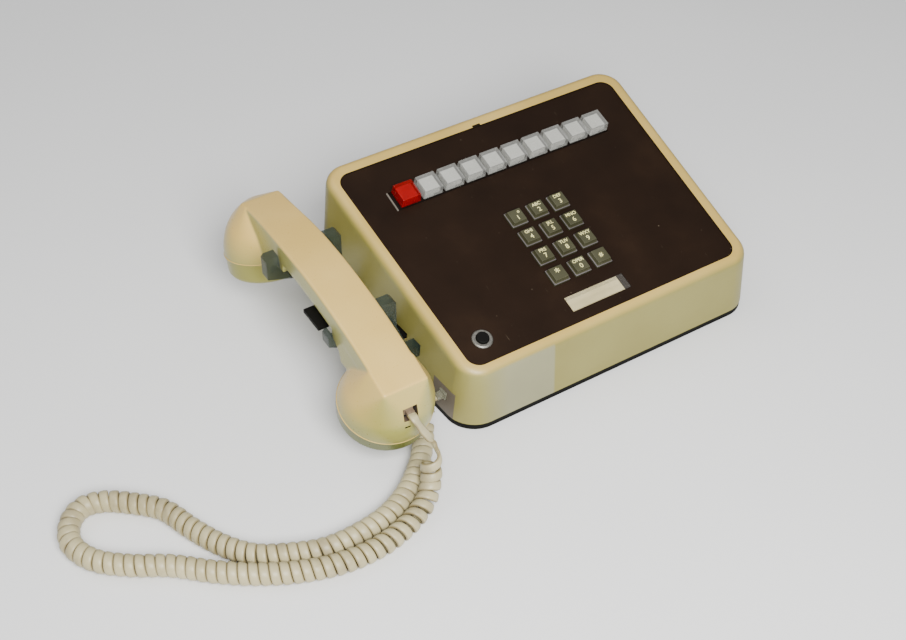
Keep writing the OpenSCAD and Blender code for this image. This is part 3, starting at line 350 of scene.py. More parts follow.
# Housing
# One thick-walled moulding in beige ABS: drafted walls, a soft rim and a sunk ledge for the faceplate. It is
# screwed to the base plate through four bosses.
def moulded_plastic(name, shades, gloss, grain_mm, depth_mm, drift_mm=70.0, painted_wall_light=None, turn=(0.9, 0.05),
                    specular=0.5):
    """Moulded plastic: the colour drifts softly over the piece, and the tool's grain breaks up the shine.
    Its walls may take a painted light of another tint than its top, the cast of a coloured surrounding:
    turn is how level a face is where the tint starts, and where it is full."""
    made = empty_material(name)
    tree = made.node_tree
    where = add(tree, "ShaderNodeTexCoord")
    drift = add(tree, "ShaderNodeTexNoise", {"Scale": 1000.0 / drift_mm, "Detail": 4.0},
                {"Vector": (where, "Object")})
    tone = add(tree, "ShaderNodeValToRGB", {"ramp": list(zip((0.3, 0.5, 0.7), shades))},
               {"Fac": (drift, "Fac")})
    grain = add(tree, "ShaderNodeTexNoise", {"Scale": 1000.0 / grain_mm, "Detail": 2.0},
                {"Vector": (where, "Object")})
    shine = add(tree, "ShaderNodeMapRange", {"To Min": gloss - 0.07, "To Max": gloss + 0.07},
                {"Value": (grain, "Fac")})
    bump = add(tree, "ShaderNodeBump", {"Strength": 0.4, "Distance": depth_mm / 1000.0},
               {"Height": (grain, "Fac")})
    shader = add(tree, "ShaderNodeBsdfPrincipled", {"IOR": 1.53, "Specular IOR Level": specular},
                 {"Base Color": (tone, "Color"), "Roughness": (shine, "Result"), "Normal": (bump, "Normal")})
    # The walls' tint is painted light, a coloured cast bounced onto them, not a tint of the plastic.
    if painted_wall_light:
        facing = add(tree, "ShaderNodeNewGeometry")
        axes = add(tree, "ShaderNodeSeparateXYZ", links={"Vector": (facing, "Normal")})
        side = add(tree, "ShaderNodeMapRange", {"From Min": turn[0], "From Max": turn[1]},
                   {"Value": (axes, "Z")})
        wall_lit = add(tree, "ShaderNodeMix", {"data_type": "RGBA", "blend_type": "MULTIPLY"},
                   {0: (side, "Result"), 6: (tone, "Color")})
        wall_lit.inputs[7].default_value = linear(painted_wall_light)
        tree.links.new(wall_lit.outputs[2], shader.inputs["Base Color"])
    add(tree, "ShaderNodeOutputMaterial", links={"Surface": (shader, "BSDF")})
    return made


# Aged ABS with a fine spark-eroded grain. The grain is drawn at 1.1 mm, coarser than real, so that it shows.
# Its walls take a greenish painted light, the cast of a coloured surrounding, which its top lacks.
housing_abs = moulded_plastic("grained_abs_housing", ("#b39649", "#bb9e52", "#c3a65b"), 0.42, 1.1, 0.05,
                              painted_wall_light="#b4c9c8", turn=(0.95, 0.35))
# A stretch of the front wall has yellowed less than the rest. It starts softly and ends in a straight line.
PALE_START, START_SOFT = -0.070, 0.012
PALE_END, END_SOFT = -0.019, 0.0008
tree = housing_abs.node_tree
shader = next(n for n in tree.nodes if n.type == "BSDF_PRINCIPLED")
wall_lit = shader.inputs["Base Color"].links[0].from_node
where = next(n for n in tree.nodes if n.type == "TEX_COORD")
place = add(tree, "ShaderNodeSeparateXYZ", links={"Vector": (where, "Object")})
starts = add(tree, "ShaderNodeMapRange",
             {"From Min": PALE_START - START_SOFT, "From Max": PALE_START + START_SOFT},
             {"Value": (place, "X")})
ends = add(tree, "ShaderNodeMapRange",
           {"From Min": PALE_END + END_SOFT, "From Max": PALE_END - END_SOFT}, {"Value": (place, "X")})
facing = next(n for n in tree.nodes if n.type == "NEW_GEOMETRY")
axes = add(tree, "ShaderNodeSeparateXYZ", links={"Vector": (facing, "Normal")})
front = add(tree, "ShaderNodeMapRange", {"From Min": -0.8, "From Max": -0.95}, {"Value": (axes, "Y")})
across = add(tree, "ShaderNodeMath", {"operation": "MULTIPLY"}, {0: (starts, "Result"), 1: (ends, "Result")})
kept = add(tree, "ShaderNodeMath", {"operation": "MULTIPLY"}, {0: (across, "Value"), 1: (front, "Result")})
paler = add(tree, "ShaderNodeMix", {"data_type": "RGBA", "blend_type": "SCREEN"},
            {0: (kept, "Value"), 6: (wall_lit, 2)})
paler.inputs[7].default_value = linear("#283a50")
tree.links.new(paler.outputs[2], shader.inputs["Base Color"])
# Painted shade on ABS, drawn dark brown: it fills the step between the rim and the faceplate, and the pry
# notch behind it.
ledge_shade = moulded_plastic("ledge_painted_shade", ("#1d1610", "#241c14", "#2d2418"), 0.7, 0.9, 0.03,
                              specular=0.1)
PLATE_Z, PLATE_SLOPE = 0.0785, math.radians(15)
PLATE = Matrix.Translation(BODY + Vector((0, 0, PLATE_Z))) @ Matrix.Rotation(PLATE_SLOPE, 4, "X")
STEP_H, STEEP = 0.006, 0.5
housing = tool_copy("housing", "abs_housing", 0.0005)
housing.data.materials.append(housing_abs)
housing.data.materials.append(ledge_shade)
to_plate = PLATE.inverted()
# The steep walls that face inward round the ledge take the painted shade.
for face in housing.data.polygons:
    middle = to_plate @ face.center
    turned = to_plate.to_3x3() @ face.normal
    inward = middle.x * turned.x + middle.y * turned.y < 0
    face.material_index = 1 if abs(middle.z) < STEP_H and abs(turned.z) < STEEP and inward else 0
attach(housing, "base")


# Base plate, feet and screws
# A black plate closes the housing from below. Its edge is drawn turned down, flush with the housing's wall,
# to
# just above the desk: the plate's own edge, and below it a black skirt of painted shade for the gap under the
# housing. Four steel screws hold it, and four rubber feet are pressed on.
def joined(pieces):
    """Several pieces as one, under the first one's name."""
    bpy.ops.object.select_all(action="DESELECT")
    for piece in pieces:
        piece.select_set(True)
    bpy.context.view_layer.objects.active = pieces[0]
    if len(pieces) > 1:
        bpy.ops.object.join()
    return bpy.context.view_layer.objects.active


# Black ABS: rubbed dull where it is handled or stands on the desk, and satin elsewhere.
dull_black = moulded_plastic("dull_black_abs", ("#070605", "#0b0a08", "#100f0c"), 0.7, 0.9, 0.03,
                             specular=0.1)
black_plastic = moulded_plastic("black_abs", ("#15130f", "#1b1916", "#22201b"), 0.38, 0.9, 0.03)
# Black rubber, matt and slightly pitted.
rubber = moulded_plastic("black_rubber", ("#141312", "#1a1918", "#211f1d"), 0.75, 1.4, 0.06)
# Zinc-plated steel with a spangle of about 1 mm, gone grey.
steel = empty_material("zinc_plated_steel")
tree = steel.node_tree
where = add(tree, "ShaderNodeTexCoord")
spangle = add(tree, "ShaderNodeTexNoise", {"Scale": 900.0, "Detail": 3.0}, {"Vector": (where, "Object")})
tone = add(tree, "ShaderNodeValToRGB", {"ramp": [(0.3, "#86837b"), (0.7, "#a9a69d")]},
           {"Fac": (spangle, "Fac")})
shine = add(tree, "ShaderNodeMapRange", {"To Min": 0.4, "To Max": 0.55}, {"Value": (spangle, "Fac")})
shader = add(tree, "ShaderNodeBsdfPrincipled", {"Metallic": 1.0},
             {"Base Color": (tone, "Color"), "Roughness": (shine, "Result")})
add(tree, "ShaderNodeOutputMaterial", links={"Surface": (shader, "BSDF")})

PLATE_LOW, PLATE_HIGH, EDGE_OUT, EDGE_LOW = 0.003, 0.0055, 0.0013, 0.0008
base_plate = tool_copy("base_plate", "black_base_plate", 0.0004)
# The skirt below the plate's own edge is painted shade, a dark sheet where the gap under the housing lies.
plate_edge_and_shade = bpy.data.objects.new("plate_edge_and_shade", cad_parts["base_plate"].data.copy())
bpy.context.scene.collection.objects.link(plate_edge_and_shade)
bpy.ops.object.select_all(action="DESELECT")
plate_edge_and_shade.select_set(True)
bpy.context.view_layer.objects.active = plate_edge_and_shade
bpy.ops.object.mode_set(mode="EDIT")
bpy.ops.mesh.select_all(action="SELECT")
bpy.ops.mesh.bisect(plane_co=(0, 0, PLATE_HIGH), plane_no=(0, 0, 1), clear_outer=True)
bpy.ops.mesh.select_all(action="SELECT")
bpy.ops.mesh.convex_hull()
bpy.ops.mesh.select_all(action="SELECT")
bpy.ops.mesh.dissolve_limited(angle_limit=math.radians(1))
bpy.ops.mesh.select_mode(type="FACE")
bpy.ops.mesh.select_all(action="DESELECT")
bpy.ops.object.mode_set(mode="OBJECT")
for face in plate_edge_and_shade.data.polygons:
    face.select = abs(face.normal.z) > STEEP
bpy.ops.object.mode_set(mode="EDIT")
bpy.ops.mesh.delete(type="ONLY_FACE")
bpy.ops.mesh.select_mode(type="VERT")
bpy.ops.object.mode_set(mode="OBJECT")
outward = {}
for face in plate_edge_and_shade.data.polygons:
    for corner in face.vertices:
        outward[corner] = outward.get(corner, Vector()) + face.normal
for point in plate_edge_and_shade.data.vertices:
    if point.index in outward:
        point.co += outward[point.index].normalized() * EDGE_OUT
    point.co.z = PLATE_HIGH if point.co.z > (PLATE_LOW + PLATE_HIGH) / 2 else EDGE_LOW
wall = plate_edge_and_shade.modifiers.new("wall", "SOLIDIFY")
wall.thickness = EDGE_OUT
wall.offset = -1.0
bpy.ops.object.modifier_apply(modifier="wall")
plate_edge_and_shade.data.materials.clear()
base_plate = joined([base_plate, plate_edge_and_shade])
base_plate.data.materials.append(dull_black)
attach(base_plate, "base")
moulded("rubber_feet", "pressed_feet", 0.0008, rubber, "base")
moulded("base_screws", "steel_screws", 0.0003, steel, "base")


# Boards and ringer
# The main board stands on four posts of the base plate, with the ringer capsule beside it. The keypad's own
# board hangs under its frame. Boards are of paper phenolic, and the ringer's can is painted steel.
laminate = moulded_plastic("phenolic_board", ("#59482a", "#68552f", "#725e38"), 0.45, 1.5, 0.02)
ringer_steel = moulded_plastic("painted_steel_capsule", ("#2a2a29", "#31312f", "#3a3a37"), 0.3, 1.2, 0.02)
moulded("main_board", "stuffed_main_board", 0.0003, laminate, "base")
moulded("ringer", "ringer_capsule", 0.0006, ringer_steel, "base")
moulded("keypad_board", "contact_board", 0.0002, laminate, "base")
moulded("keypad_frame", "keypad_guide", 0.0003, black_plastic, "base")


# Faceplate
# A flat sheet of dark brown plastic with a matt texture of about 1 mm, let into the housing's ledge. Its
# tone drifts over 45 mm or so. Handling has left fine scratches, and here and there pale specks 8 mm apart.
faceplate_brown = empty_material("textured_brown_sheet")
tree = faceplate_brown.node_tree
where = add(tree, "ShaderNodeTexCoord")
drift = add(tree, "ShaderNodeTexNoise", {"Scale": 22.0, "Detail": 5.0}, {"Vector": (where, "Object")})
tone = add(tree, "ShaderNodeValToRGB", {"ramp": [(0.3, "#170b03"), (0.55, "#1c0f05"), (0.75, "#231509")]},
           {"Fac": (drift, "Fac")})
specks = add(tree, "ShaderNodeTexVoronoi", {"Scale": 130.0}, {"Vector": (where, "Object")})
speck = add(tree, "ShaderNodeValToRGB", {"ramp": [(0.045, "#ffffff"), (0.085, "#000000")]},
            {"Fac": (specks, "Distance")})
few = add(tree, "ShaderNodeTexNoise", {"Scale": 60.0, "Detail": 1.0}, {"Vector": (where, "Object")})
some = add(tree, "ShaderNodeMapRange", {"From Min": 0.56, "From Max": 0.72, "To Max": 0.45},
           {"Value": (few, "Fac")})
worn = add(tree, "ShaderNodeMath", {"operation": "MULTIPLY"}, {0: (speck, "Color"), 1: (some, "Result")})
along = add(tree, "ShaderNodeMapping", links={"Vector": (where, "Object")})
along.inputs["Rotation"].default_value = (0, 0, math.radians(-20))
along.inputs["Scale"].default_value = (1400.0, 60.0, 60.0)
lines = add(tree, "ShaderNodeTexNoise", {"Scale": 1.0, "Detail": 1.0}, {"Vector": (along, "Vector")})
scored = add(tree, "ShaderNodeMapRange", {"From Min": 0.80, "From Max": 0.84, "To Max": 0.35},
             {"Value": (lines, "Fac")})
rubbed = add(tree, "ShaderNodeMath", {"operation": "MAXIMUM"}, {0: (worn, "Value"), 1: (scored, "Result")})
dusted = add(tree, "ShaderNodeMix", {"data_type": "RGBA"}, {0: (rubbed, "Value"), 6: (tone, "Color")})
dusted.inputs[7].default_value = linear("#7d705c")
grain = add(tree, "ShaderNodeTexNoise", {"Scale": 1100.0, "Detail": 2.0}, {"Vector": (where, "Object")})
bump = add(tree, "ShaderNodeBump", {"Strength": 0.5, "Distance": 0.00008}, {"Height": (grain, "Fac")})
shine = add(tree, "ShaderNodeMapRange", {"To Min": 0.5, "To Max": 0.66}, {"Value": (drift, "Fac")})
shader = add(tree, "ShaderNodeBsdfPrincipled", {"IOR": 1.5, "Specular IOR Level": 0.16},
             {"Base Color": (dusted, 2), "Roughness": (shine, "Result"), "Normal": (bump, "Normal")})
add(tree, "ShaderNodeOutputMaterial", links={"Surface": (shader, "BSDF")})
moulded("faceplate", "brown_faceplate", 0.00025, faceplate_brown, "base")


# Line keys
# Ten keys stand in a row in a moulded tray. Each is an opaque block on a stem, with a clear acrylic cap
# snapped over it; the first, which holds a call, is red throughout.
LIP_LEFT, LIP_RIGHT, LIP_LOW = -0.0976, -0.0954, -0.002
# The tray is of grey ABS, drawn near black with painted shade except on its lip. The blocks are of acetal;
# their sloping edges are drawn darker, a painted shade of the gap under the cap.
tray_plastic = moulded_plastic("pale_grey_abs", ("#5f594f", "#696258", "#736c62"), 0.5, 1.0, 0.03)
tray_shade = moulded_plastic("tray_painted_shade", ("#120c08", "#170f0b", "#1d150f"), 0.7, 1.0, 0.03,
                             specular=0.1)
block_white = moulded_plastic("white_acetal", ("#b4b3aa", "#bcbbb2", "#c4c3bb"), 0.4, 0.8, 0.02)
block_edge_shade = moulded_plastic("acetal_edge_painted_shade", ("#55534d", "#5f5d56", "#6a6861"), 0.5, 0.8, 0.02)
block_red = moulded_plastic("red_acetal", ("#b40000", "#c00000", "#ca0100"), 0.5, 0.8, 0.02)
tray = tool_copy("line_key_frame", "line_key_tray", 0.0003)
tray.data.materials.append(tray_shade)
tray.data.materials.append(tray_plastic)
# All of the tray but its lip takes the painted shade.
for face in tray.data.polygons:
    lip = LIP_LEFT < face.center.x - BODY.x < LIP_RIGHT and (to_plate @ face.center).z > LIP_LOW
    face.material_index = 1 if lip else 0
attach(tray, "base")
# Cast acrylic, polished. The block shows through it, and its sloping edges show darker with painted shade.
EDGE_LEVEL = (0.15, 0.95)
acrylic_clear = clear_plastic("clear_acrylic", ("#b4b4ae", "#c4c4be"), 0.22, 0.14, 6.0)
acrylic_red = clear_plastic("red_acrylic", ("#8c0000", "#a00000"), 0.4, 0.2, 6.0)
for i in range(1, 11):
    key_block = tool_copy("line_key_%d" % i, "key_block_%d" % i, 0.0006)
    key_block.data.materials.append(block_red if i == 1 else block_white)
    key_block.data.materials.append(block_red if i == 1 else block_edge_shade)
    # The block's sloping faces take the painted shade.
    for face in key_block.data.polygons:
        level = (to_plate.to_3x3() @ face.normal).z
        face.material_index = 1 if EDGE_LEVEL[0] < level < EDGE_LEVEL[1] else 0
    cap = tool_copy("line_cap_%d" % i, "acrylic_cap_%d" % i, 0.0005, 3)
    cap.data.materials.append(acrylic_red if i == 1 else acrylic_clear)
    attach(key_block, "line_%d" % i)
    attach(cap, "line_%d" % i)


# Number keys
# Twelve keys in olive ABS, with flat tops and sloping sides; the lighter grey round their flanges is a
# painted highlight. Their legends are moulded through in a cream second shot.
key_olive = moulded_plastic("olive_abs", ("#34331f", "#3d3c28", "#464531"), 0.4, 0.8, 0.03, 30.0)
key_flange_highlight = moulded_plastic("key_flange_painted_highlight", ("#514b4e", "#5d5659", "#696266"), 0.4, 0.8, 0.03, 30.0)
key_cream = moulded_plastic("cream_second_shot", ("#d2ca86", "#ddd694", "#e4dea4"), 0.45, 0.8, 0.01, 30.0)
KEYPAD_U, KEYPAD_V, KEY_PITCH, KEY_COLUMNS, KEY_ROWS = -0.001, -0.024, 0.01905, 3, 4
KEY_TOP, KEY_FLANGE_W, FLANGE_HIGHLIGHT_W = 0.0046, 0.0139, 0.0005
LETTER_SIZE, LETTER_UP, DIGIT_SIZE, DIGIT_UP = 0.0039, 0.0029, 0.0056, -0.0022
STAR_SCALE, RING_ASIDE = 1.7, 0.0026
LEGEND_T, LEGEND_BOLD, LEGEND_PROUD = 0.00003, 0.00006, 0.00002
LEGENDS = (("o", "1"), ("ABC", "2"), ("DEF", "3"), ("GHI", "4"), ("JKL", "5"), ("MNO", "6"),
           ("PRS", "7"), ("TUV", "8"), ("WXY", "9"), ("", "*"), ("OPER", "0"), ("", "#"))


def legend_line(words, size, up):
    """One line of a key's legend, flat on the key's middle."""
    bpy.ops.object.text_add()
    line = bpy.context.object
    line.data.body = words
    line.data.size = size * (STAR_SCALE if words == "*" else 1.0)
    line.data.align_x = "CENTER"
    line.data.align_y = "CENTER"
    line.data.resolution_u = 4
    line.data.extrude = LEGEND_T
    line.data.offset = LEGEND_BOLD
    bpy.ops.object.convert(target="MESH")
    line = bpy.context.object
    line.data.transform(Matrix.Translation((RING_ASIDE if words == "o" else 0.0, up, 0)))
    return line


for i, (letters, digit) in enumerate(LEGENDS):
    key = tool_copy("number_key_%d" % (i + 1), "olive_key_%d" % (i + 1), 0.0004, 3)
    key.data.materials.append(key_olive)
    key.data.materials.append(key_flange_highlight)
    u = KEYPAD_U + (i % KEY_COLUMNS - (KEY_COLUMNS - 1) / 2) * KEY_PITCH
    v = KEYPAD_V + ((KEY_ROWS - 1) / 2 - i // KEY_COLUMNS) * KEY_PITCH
    to_key = (PLATE @ Matrix.Translation((u, v, 0))).inverted()
    # The rim of each flange takes the painted highlight.
    for face in key.data.polygons:
        place = to_key @ face.center
        rim = max(abs(place.x), abs(place.y)) > KEY_FLANGE_W / 2 - FLANGE_HIGHLIGHT_W
        face.material_index = 1 if rim and place.z > 0 else 0
    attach(key, "digit_%d" % (i + 1))
    lines = []
    if letters:
        lines.append(legend_line(letters, LETTER_SIZE, LETTER_UP))
    lines.append(legend_line(digit, DIGIT_SIZE, DIGIT_UP if letters else 0.0))
    legend = joined(lines)
    legend.name = "legend_%d" % (i + 1)
    legend.data.transform(PLATE @ Matrix.Translation((u, v, KEY_TOP + LEGEND_PROUD)))
    legend.data.materials.clear()
    legend.data.materials.append(key_cream)
    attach(legend, "digit_%d" % (i + 1))


# Number card and its window
# A plain paper card, gone yellow, under a thin window of clear acetate that lies flush with the faceplate.
card_paper = moulded_plastic("aged_card", ("#b8aa7a", "#c2b485", "#cabd92"), 0.8, 0.9, 0.03, 25.0)
moulded("number_card", "paper_card", 0.00005, card_paper, "base")
acetate = clear_plastic("clear_acetate", ("#9a9a94", "#b0b0aa"), 0.05, 0.15, 9.0)
moulded("card_window", "acetate_window", 0.0002, acetate, "base")


# Push button
# A black button slides in a threaded bush; the plated ring is the bush's own head.
moulded("button_switch", "plated_bush", 0.0003, steel, "base")
moulded("push_button", "black_button", 0.0003, dull_black, "button")


# Jack plate
# The modular jack is moulded in grey nylon, and slides up into a notch of the left wall.
jack_grey = moulded_plastic("grey_nylon", ("#544b3d", "#5d5446", "#675e50"), 0.5, 0.9, 0.03)
moulded("jack_plate", "grey_jack", 0.0004, jack_grey, "base")


# Cradle
# Two yokes of smoked polycarbonate carry the handle. Between them the black hook lever bears up against it,
# and turns on a pin in the ears of the hook switch.
smoked = clear_plastic("smoked_polycarbonate", ("#172320", "#2d3a30"), 0.62, 0.42, 17.0)
moulded("cradle_yoke_back", "smoked_yoke_back", 0.0008, smoked, "base")
moulded("cradle_yoke_front", "smoked_yoke_front", 0.0008, smoked, "base")
moulded("hook_switch", "hook_bracket", 0.0003, black_plastic, "base")
moulded("hook_lever", "black_hook_lever", 0.0005, dull_black, "hook")


# Handset shell
# One hollow moulding in polished ABS: a flat-topped handle, arched along its length, that swells into a
# domed cup at either end. The tool's edges are soft, and years of handling have rounded them more.
HAND_AT, HAND_TILT = BODY + Vector((-0.181, -0.0015, 0.0926)), math.radians(4)
HAND = Matrix.Translation(HAND_AT) @ Matrix.Rotation(HAND_TILT, 4, "X")
EAR = Matrix.Translation((0, 0.092, -0.0584)) @ Matrix.Rotation(math.radians(-20), 4, "X")
MOUTH = Matrix.Translation((0, -0.076, -0.054)) @ Matrix.Rotation(math.radians(14), 4, "X")
# The handle's top is an arch. It narrows a little from TAPER_FROM towards the ear.
HANDSET_L, HANDSET_SAG = 0.212, 0.0147
ARCH_R = (HANDSET_L ** 2 / 4 + HANDSET_SAG ** 2) / 2 / HANDSET_SAG
ARCH_STEPS_PER_M = 600
HANDLE_W, HANDLE_T, ARRIS_R, HANDLE_R = 0.033, 0.0245, 0.0016, 0.011
HANDLE_EAR_END, HANDLE_MOUTH_END = 0.1045, -0.088
EAR_TAPER, TAPER_FROM, TAPER_RUN = 0.08, 0.03, 0.075
# The domes, the skin that carries the handle's top over them, and the necks under the handle.
DOME_H, SKIN_T = 0.042, 0.001
NECK_W, NECK_SHARE = HANDLE_W - 0.0004, 0.55
# The room that each cup has for its cap's collar and its capsule, and how far a cut runs past what it cuts.
CUP_WALL, COLLAR_H, COLLAR_ROOM = 0.0034, 0.006, 0.002
CAPSULE_R, CAPSULE_H, CAPSULE_ROOM = 0.018, 0.014, 0.002
CUT_DEPTH, CUT_ASIDE, CUT_PAST = 0.06, 0.004, 0.001
VOXEL, WORN_ROUNDS = 0.0009, 9
BEAD_R, BEAD_IN = 0.0007, 0.0003
# The socket for the cord's plug, and below it a short slot through which a tool reaches the socket's catch.
SOCKET_W, SOCKET_H, SOCKET_LONG = 0.0108, 0.0096, 0.05
SOCKET_FLOOR, SOCKET_UP = -0.0986, -0.0194
SLOT_X, SLOT_UP, SLOT_SIZE = -0.0032, -0.0295, (0.0042, 0.014, 0.0012)
SHADE_EDGE, SHADE_FROM, SHADE_STEEP = 0.0003, -0.08, 0.6


def pick(piece, wanted):
    """Opens a piece for editing, with the points that a test wants selected."""
    bpy.ops.object.select_all(action="DESELECT")
    piece.select_set(True)
    bpy.context.view_layer.objects.active = piece
    bpy.ops.object.mode_set(mode="EDIT")
    bpy.ops.mesh.select_mode(type="VERT")
    bpy.ops.mesh.select_all(action="DESELECT")
    bpy.ops.object.mode_set(mode="OBJECT")
    for point in piece.data.vertices:
        point.select = wanted(point.co)
    bpy.ops.object.mode_set(mode="EDIT")


def taper(piece):
    """Narrows a piece of the handle towards the ear."""
    for point in piece.data.vertices:
        point.co.x *= 1 - EAR_TAPER * rise((point.co.y - TAPER_FROM) / TAPER_RUN)


def arch_bar(width, thick, top_r, low_r, start, finish):
    """A bar that follows the handle's arch from one place along it to another."""
    bpy.ops.object.select_all(action="DESELECT")
    bpy.ops.mesh.primitive_plane_add(size=1.0)
    bar = bpy.context.object
    bar.data.transform(Matrix.Rotation(math.radians(90), 4, "X"))
    bar.data.transform(Matrix.Diagonal((width, 1, thick, 1)))
    for above, radius in ((True, top_r), (False, low_r)):
        if radius:
            pick(bar, lambda p: (p.z > 0) == above)
            bpy.ops.mesh.bevel(offset=radius, affect="VERTICES", segments=8)
            bpy.ops.object.mode_set(mode="OBJECT")
    centre = Vector((0, 0, HANDSET_SAG - ARCH_R))
    first, last = math.asin(start / ARCH_R), math.asin(finish / ARCH_R)
    bar.data.transform(Matrix.Translation((0, 0, ARCH_R - thick / 2)))
    bar.data.transform(Matrix.Translation(centre) @ Matrix.Rotation(-first, 4, "X"))
    pick(bar, lambda p: True)
    steps = max(2, round(abs(finish - start) * ARCH_STEPS_PER_M))
    bpy.ops.mesh.spin(steps=steps, angle=last - first, center=centre, axis=(1, 0, 0))
    bpy.ops.mesh.select_all(action="SELECT")
    bpy.ops.mesh.remove_doubles(threshold=0.000001)
    bpy.ops.mesh.select_all(action="DESELECT")
    bpy.ops.mesh.select_non_manifold()
    bpy.ops.mesh.fill_holes(sides=0)
    bpy.ops.mesh.select_all(action="SELECT")
    bpy.ops.mesh.normals_make_consistent(inside=False)
    bpy.ops.object.mode_set(mode="OBJECT")
    taper(bar)
    return bar


def cut(piece, tool):
    """One solid cut out of another, and then put away."""
    knife = piece.modifiers.new("cut", "BOOLEAN")
    knife.operation = "DIFFERENCE"
    knife.solver = "EXACT"
    knife.object = tool
    bpy.ops.object.select_all(action="DESELECT")
    piece.select_set(True)
    bpy.context.view_layer.objects.active = piece
    bpy.ops.object.modifier_apply(modifier="cut")
    bpy.data.objects.remove(tool)


def drum(radius, low, high, place):
    """A round block between two heights of a cup's own frame."""
    bpy.ops.object.select_all(action="DESELECT")
    bpy.ops.mesh.primitive_cylinder_add(vertices=96, radius=radius, depth=high - low)
    made = bpy.context.object
    made.data.transform(place @ Matrix.Translation((0, 0, (low + high) / 2)))
    return made


def block(size, middle):
    """A square block of a size, round a middle."""
    bpy.ops.object.select_all(action="DESELECT")
    bpy.ops.mesh.primitive_cube_add(size=1.0)
    made = bpy.context.object
    made.data.transform(Matrix.Diagonal((*size, 1)))
    made.data.transform(Matrix.Translation(middle))
    return made


def domed_cup(place, radius, cap_h, skin, end, lean):
    """The dome of a cup, drawn out into the end of the handle."""
    bpy.ops.object.select_all(action="DESELECT")
    bpy.ops.mesh.primitive_uv_sphere_add(segments=120, ring_count=60, radius=1.0)
    dome = bpy.context.object
    dome.data.transform(Matrix.Diagonal((radius, radius, DOME_H, 1)))
    pick(dome, lambda p: True)
    bpy.ops.mesh.bisect(plane_co=(0, 0, 0), plane_no=(0, 0, 1), use_fill=True, clear_inner=True)
    bpy.ops.object.mode_set(mode="OBJECT")
    tipped = Matrix.Identity(4)
    tipped[1][2] = lean / DOME_H
    dome.data.transform(place @ Matrix.Translation((0, 0, cap_h)) @ tipped)
    cup = joined([dome, arch_bar(HANDLE_W, SKIN_T, 0.0, 0.0, skin, end)])
    pick(cup, lambda p: True)
    bpy.ops.mesh.convex_hull()
    bpy.ops.object.mode_set(mode="OBJECT")
    return cup


def neck(place, radius, cap_h, side, throat_r, neck_in):
    """The neck that joins a cup to the underside of the handle, hollowed by a round throat."""
    seam = place @ Vector((0, 0, cap_h))
    inner = ARCH_R - HANDLE_T
    s = seam.y - side * (radius + throat_r)
    w = math.sqrt((inner - throat_r) ** 2 - s * s) - ARCH_R + HANDSET_SAG
    near, far = s * inner / (inner - throat_r), s + side * (throat_r + neck_in)
    height = throat_r + NECK_SHARE * HANDLE_T
    web = block((NECK_W, abs(far - near), height), (0, (near + far) / 2, w + height / 2))
    bpy.ops.object.select_all(action="DESELECT")
    bpy.ops.mesh.primitive_cylinder_add(vertices=160, radius=throat_r, depth=0.2)
    hollow = bpy.context.object
    hollow.data.transform(Matrix.Translation((0, s, w)) @ Matrix.Rotation(math.radians(90), 4, "Y"))
    cut(web, hollow)
    taper(web)
    return web


# For each cup: its place, its radius, the height of its cap, where along the arch its dome starts to carry
# the handle's top and where that ends, the radius of the throat under the handle, how far the neck runs into
# the cup, and how far the dome leans.
CUPS = ((EAR, 0.033, 0.0165, 0.098, 0.1055, 0.030, 0.024, -0.006),
        (MOUTH, 0.0335, 0.014, -0.086, -0.1055, 0.013, 0.034, -0.004))
forms = [arch_bar(HANDLE_W, HANDLE_T, ARRIS_R, HANDLE_R, HANDLE_EAR_END, HANDLE_MOUTH_END)]
for place, radius, cap_h, skin, end, throat_r, neck_in, lean in CUPS:
    forms.append(domed_cup(place, radius, cap_h, skin, end, lean))
    forms.append(neck(place, radius, cap_h, math.copysign(1, end), throat_r, neck_in))
shell = joined(forms)
shell.name = "handset_moulding"
shell.data.remesh_voxel_size = VOXEL
bpy.ops.object.voxel_remesh()
soften = shell.modifiers.new("worn_edges", "SMOOTH")
soften.factor = 0.5
soften.iterations = WORN_ROUNDS
bpy.ops.object.modifier_apply(modifier="worn_edges")
for place, radius, cap_h, *_ in CUPS:
    cut(shell, drum(radius + CUT_ASIDE, cap_h - CUT_DEPTH, cap_h, place))
    cut(shell, drum(radius - CUP_WALL, cap_h - CUT_PAST, cap_h + COLLAR_H + COLLAR_ROOM, place))
    cut(shell, drum(CAPSULE_R + CAPSULE_ROOM, cap_h - CUT_PAST, cap_h + CAPSULE_H + CAPSULE_ROOM, place))
cut(shell, block((SOCKET_W, SOCKET_LONG, SOCKET_H), (0, SOCKET_FLOOR - SOCKET_LONG / 2, SOCKET_UP)))
skin_at = shell.ray_cast(Vector((SLOT_X, -HANDSET_L, SLOT_UP)), Vector((0, 1, 0)))[1]
cut(shell, block(SLOT_SIZE, (SLOT_X, skin_at.y, SLOT_UP)))
# The inner walls of the socket take the second finish, and those of the slot the third: both are painted
# shade.
openings = ((0.0, SOCKET_UP, SOCKET_W / 2, SOCKET_H / 2),
            (SLOT_X, SLOT_UP, SLOT_SIZE[0] / 2, SLOT_SIZE[2] / 2))
shaded = []
for face in shell.data.polygons:
    for finish, (x, z, half_w, half_h) in enumerate(openings, 1):
        level = abs(face.center.z - z) < half_h + SHADE_EDGE
        inside = level and abs(face.center.x - x) < half_w + SHADE_EDGE
        if inside and face.center.y < SHADE_FROM and abs(face.normal.y) < SHADE_STEEP:
            shaded.append((face.index, finish))
shell.data.transform(HAND)
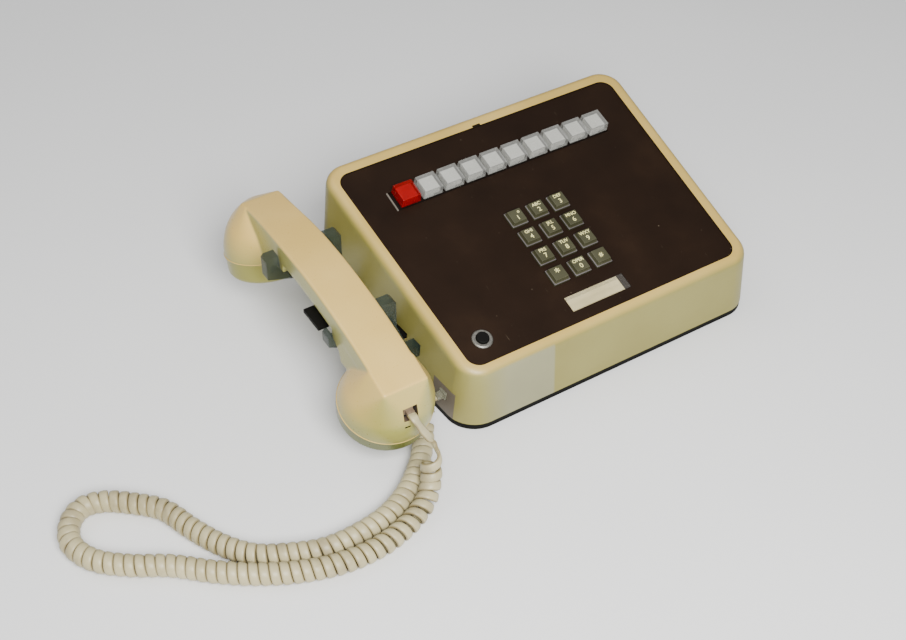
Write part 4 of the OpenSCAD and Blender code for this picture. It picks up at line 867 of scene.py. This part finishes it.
# A fine bead runs round the seam of each cup.
beads = []
for place, radius, cap_h, *_ in CUPS:
    bpy.ops.object.select_all(action="DESELECT")
    bpy.ops.mesh.primitive_torus_add(major_radius=radius - BEAD_IN, minor_radius=BEAD_R, major_segments=144,
                                     minor_segments=16)
    bead = bpy.context.object
    bead.data.transform(HAND @ place @ Matrix.Translation((0, 0, cap_h + BEAD_R)))
    beads.append(bead)
shell = joined([shell, *beads])
bpy.ops.object.shade_smooth_by_angle(angle=math.radians(40))

# Polished ABS, a little yellowed: a satin shine with a faint drift of tone, and a fine tool grain that is
# drawn at 1.4 mm, coarser than real, so that it shows.
HANDSET_SHADES = ("#c4a354", "#ccab5d", "#d3b367")
# Its walls take a greenish painted light, the cast of a coloured surrounding, which its top lacks.
handset_abs = moulded_plastic("polished_abs_handset", HANDSET_SHADES, 0.3, 1.4, 0.02, 90.0,
                              painted_wall_light="#b4d0c0", turn=(0.55, 0.0))
# The caps are of the same ABS, with a greener painted light on their walls, the mouth's more.
ear_abs = moulded_plastic("polished_abs_ear_cap", HANDSET_SHADES, 0.3, 1.4, 0.02, 90.0,
                          painted_wall_light="#a8c29e", turn=(0.7, 0.2))
mouth_abs = moulded_plastic("polished_abs_mouth_cap", HANDSET_SHADES, 0.3, 1.4, 0.02, 90.0,
                            painted_wall_light="#6f8d66", turn=(0.7, 0.2))
# Inside the socket the ABS is drawn dark brown, a painted shade.
socket_shade = moulded_plastic("shaded_abs", ("#4a3d30", "#54463a", "#5e5043"), 0.6, 0.9, 0.03,
                               specular=0.2)
shell.data.materials.clear()
shell.data.materials.append(handset_abs)
shell.data.materials.append(socket_shade)
# The slot's walls take the black as a painted shade.
shell.data.materials.append(dull_black)
for index, finish in shaded:
    shell.data.polygons[index].material_index = finish
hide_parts("handset_shell")
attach(shell, "handset")


# Handset caps, capsules and socket
# The ear and mouth caps screw into the cups over the receiver and the transmitter. The jack for the cord's
# plug is let into the end of the mouth cup.
moulded("ear_cap", "ear_screw_cap", 0.0004, ear_abs, "handset")
moulded("mouth_cap", "mouth_screw_cap", 0.0004, mouth_abs, "handset")
moulded("receiver_unit", "receiver_capsule", 0.0006, steel, "handset")
moulded("transmitter_unit", "transmitter_capsule", 0.0006, ringer_steel, "handset")
moulded("handset_jack", "handset_socket", 0.0003, black_plastic, "handset")
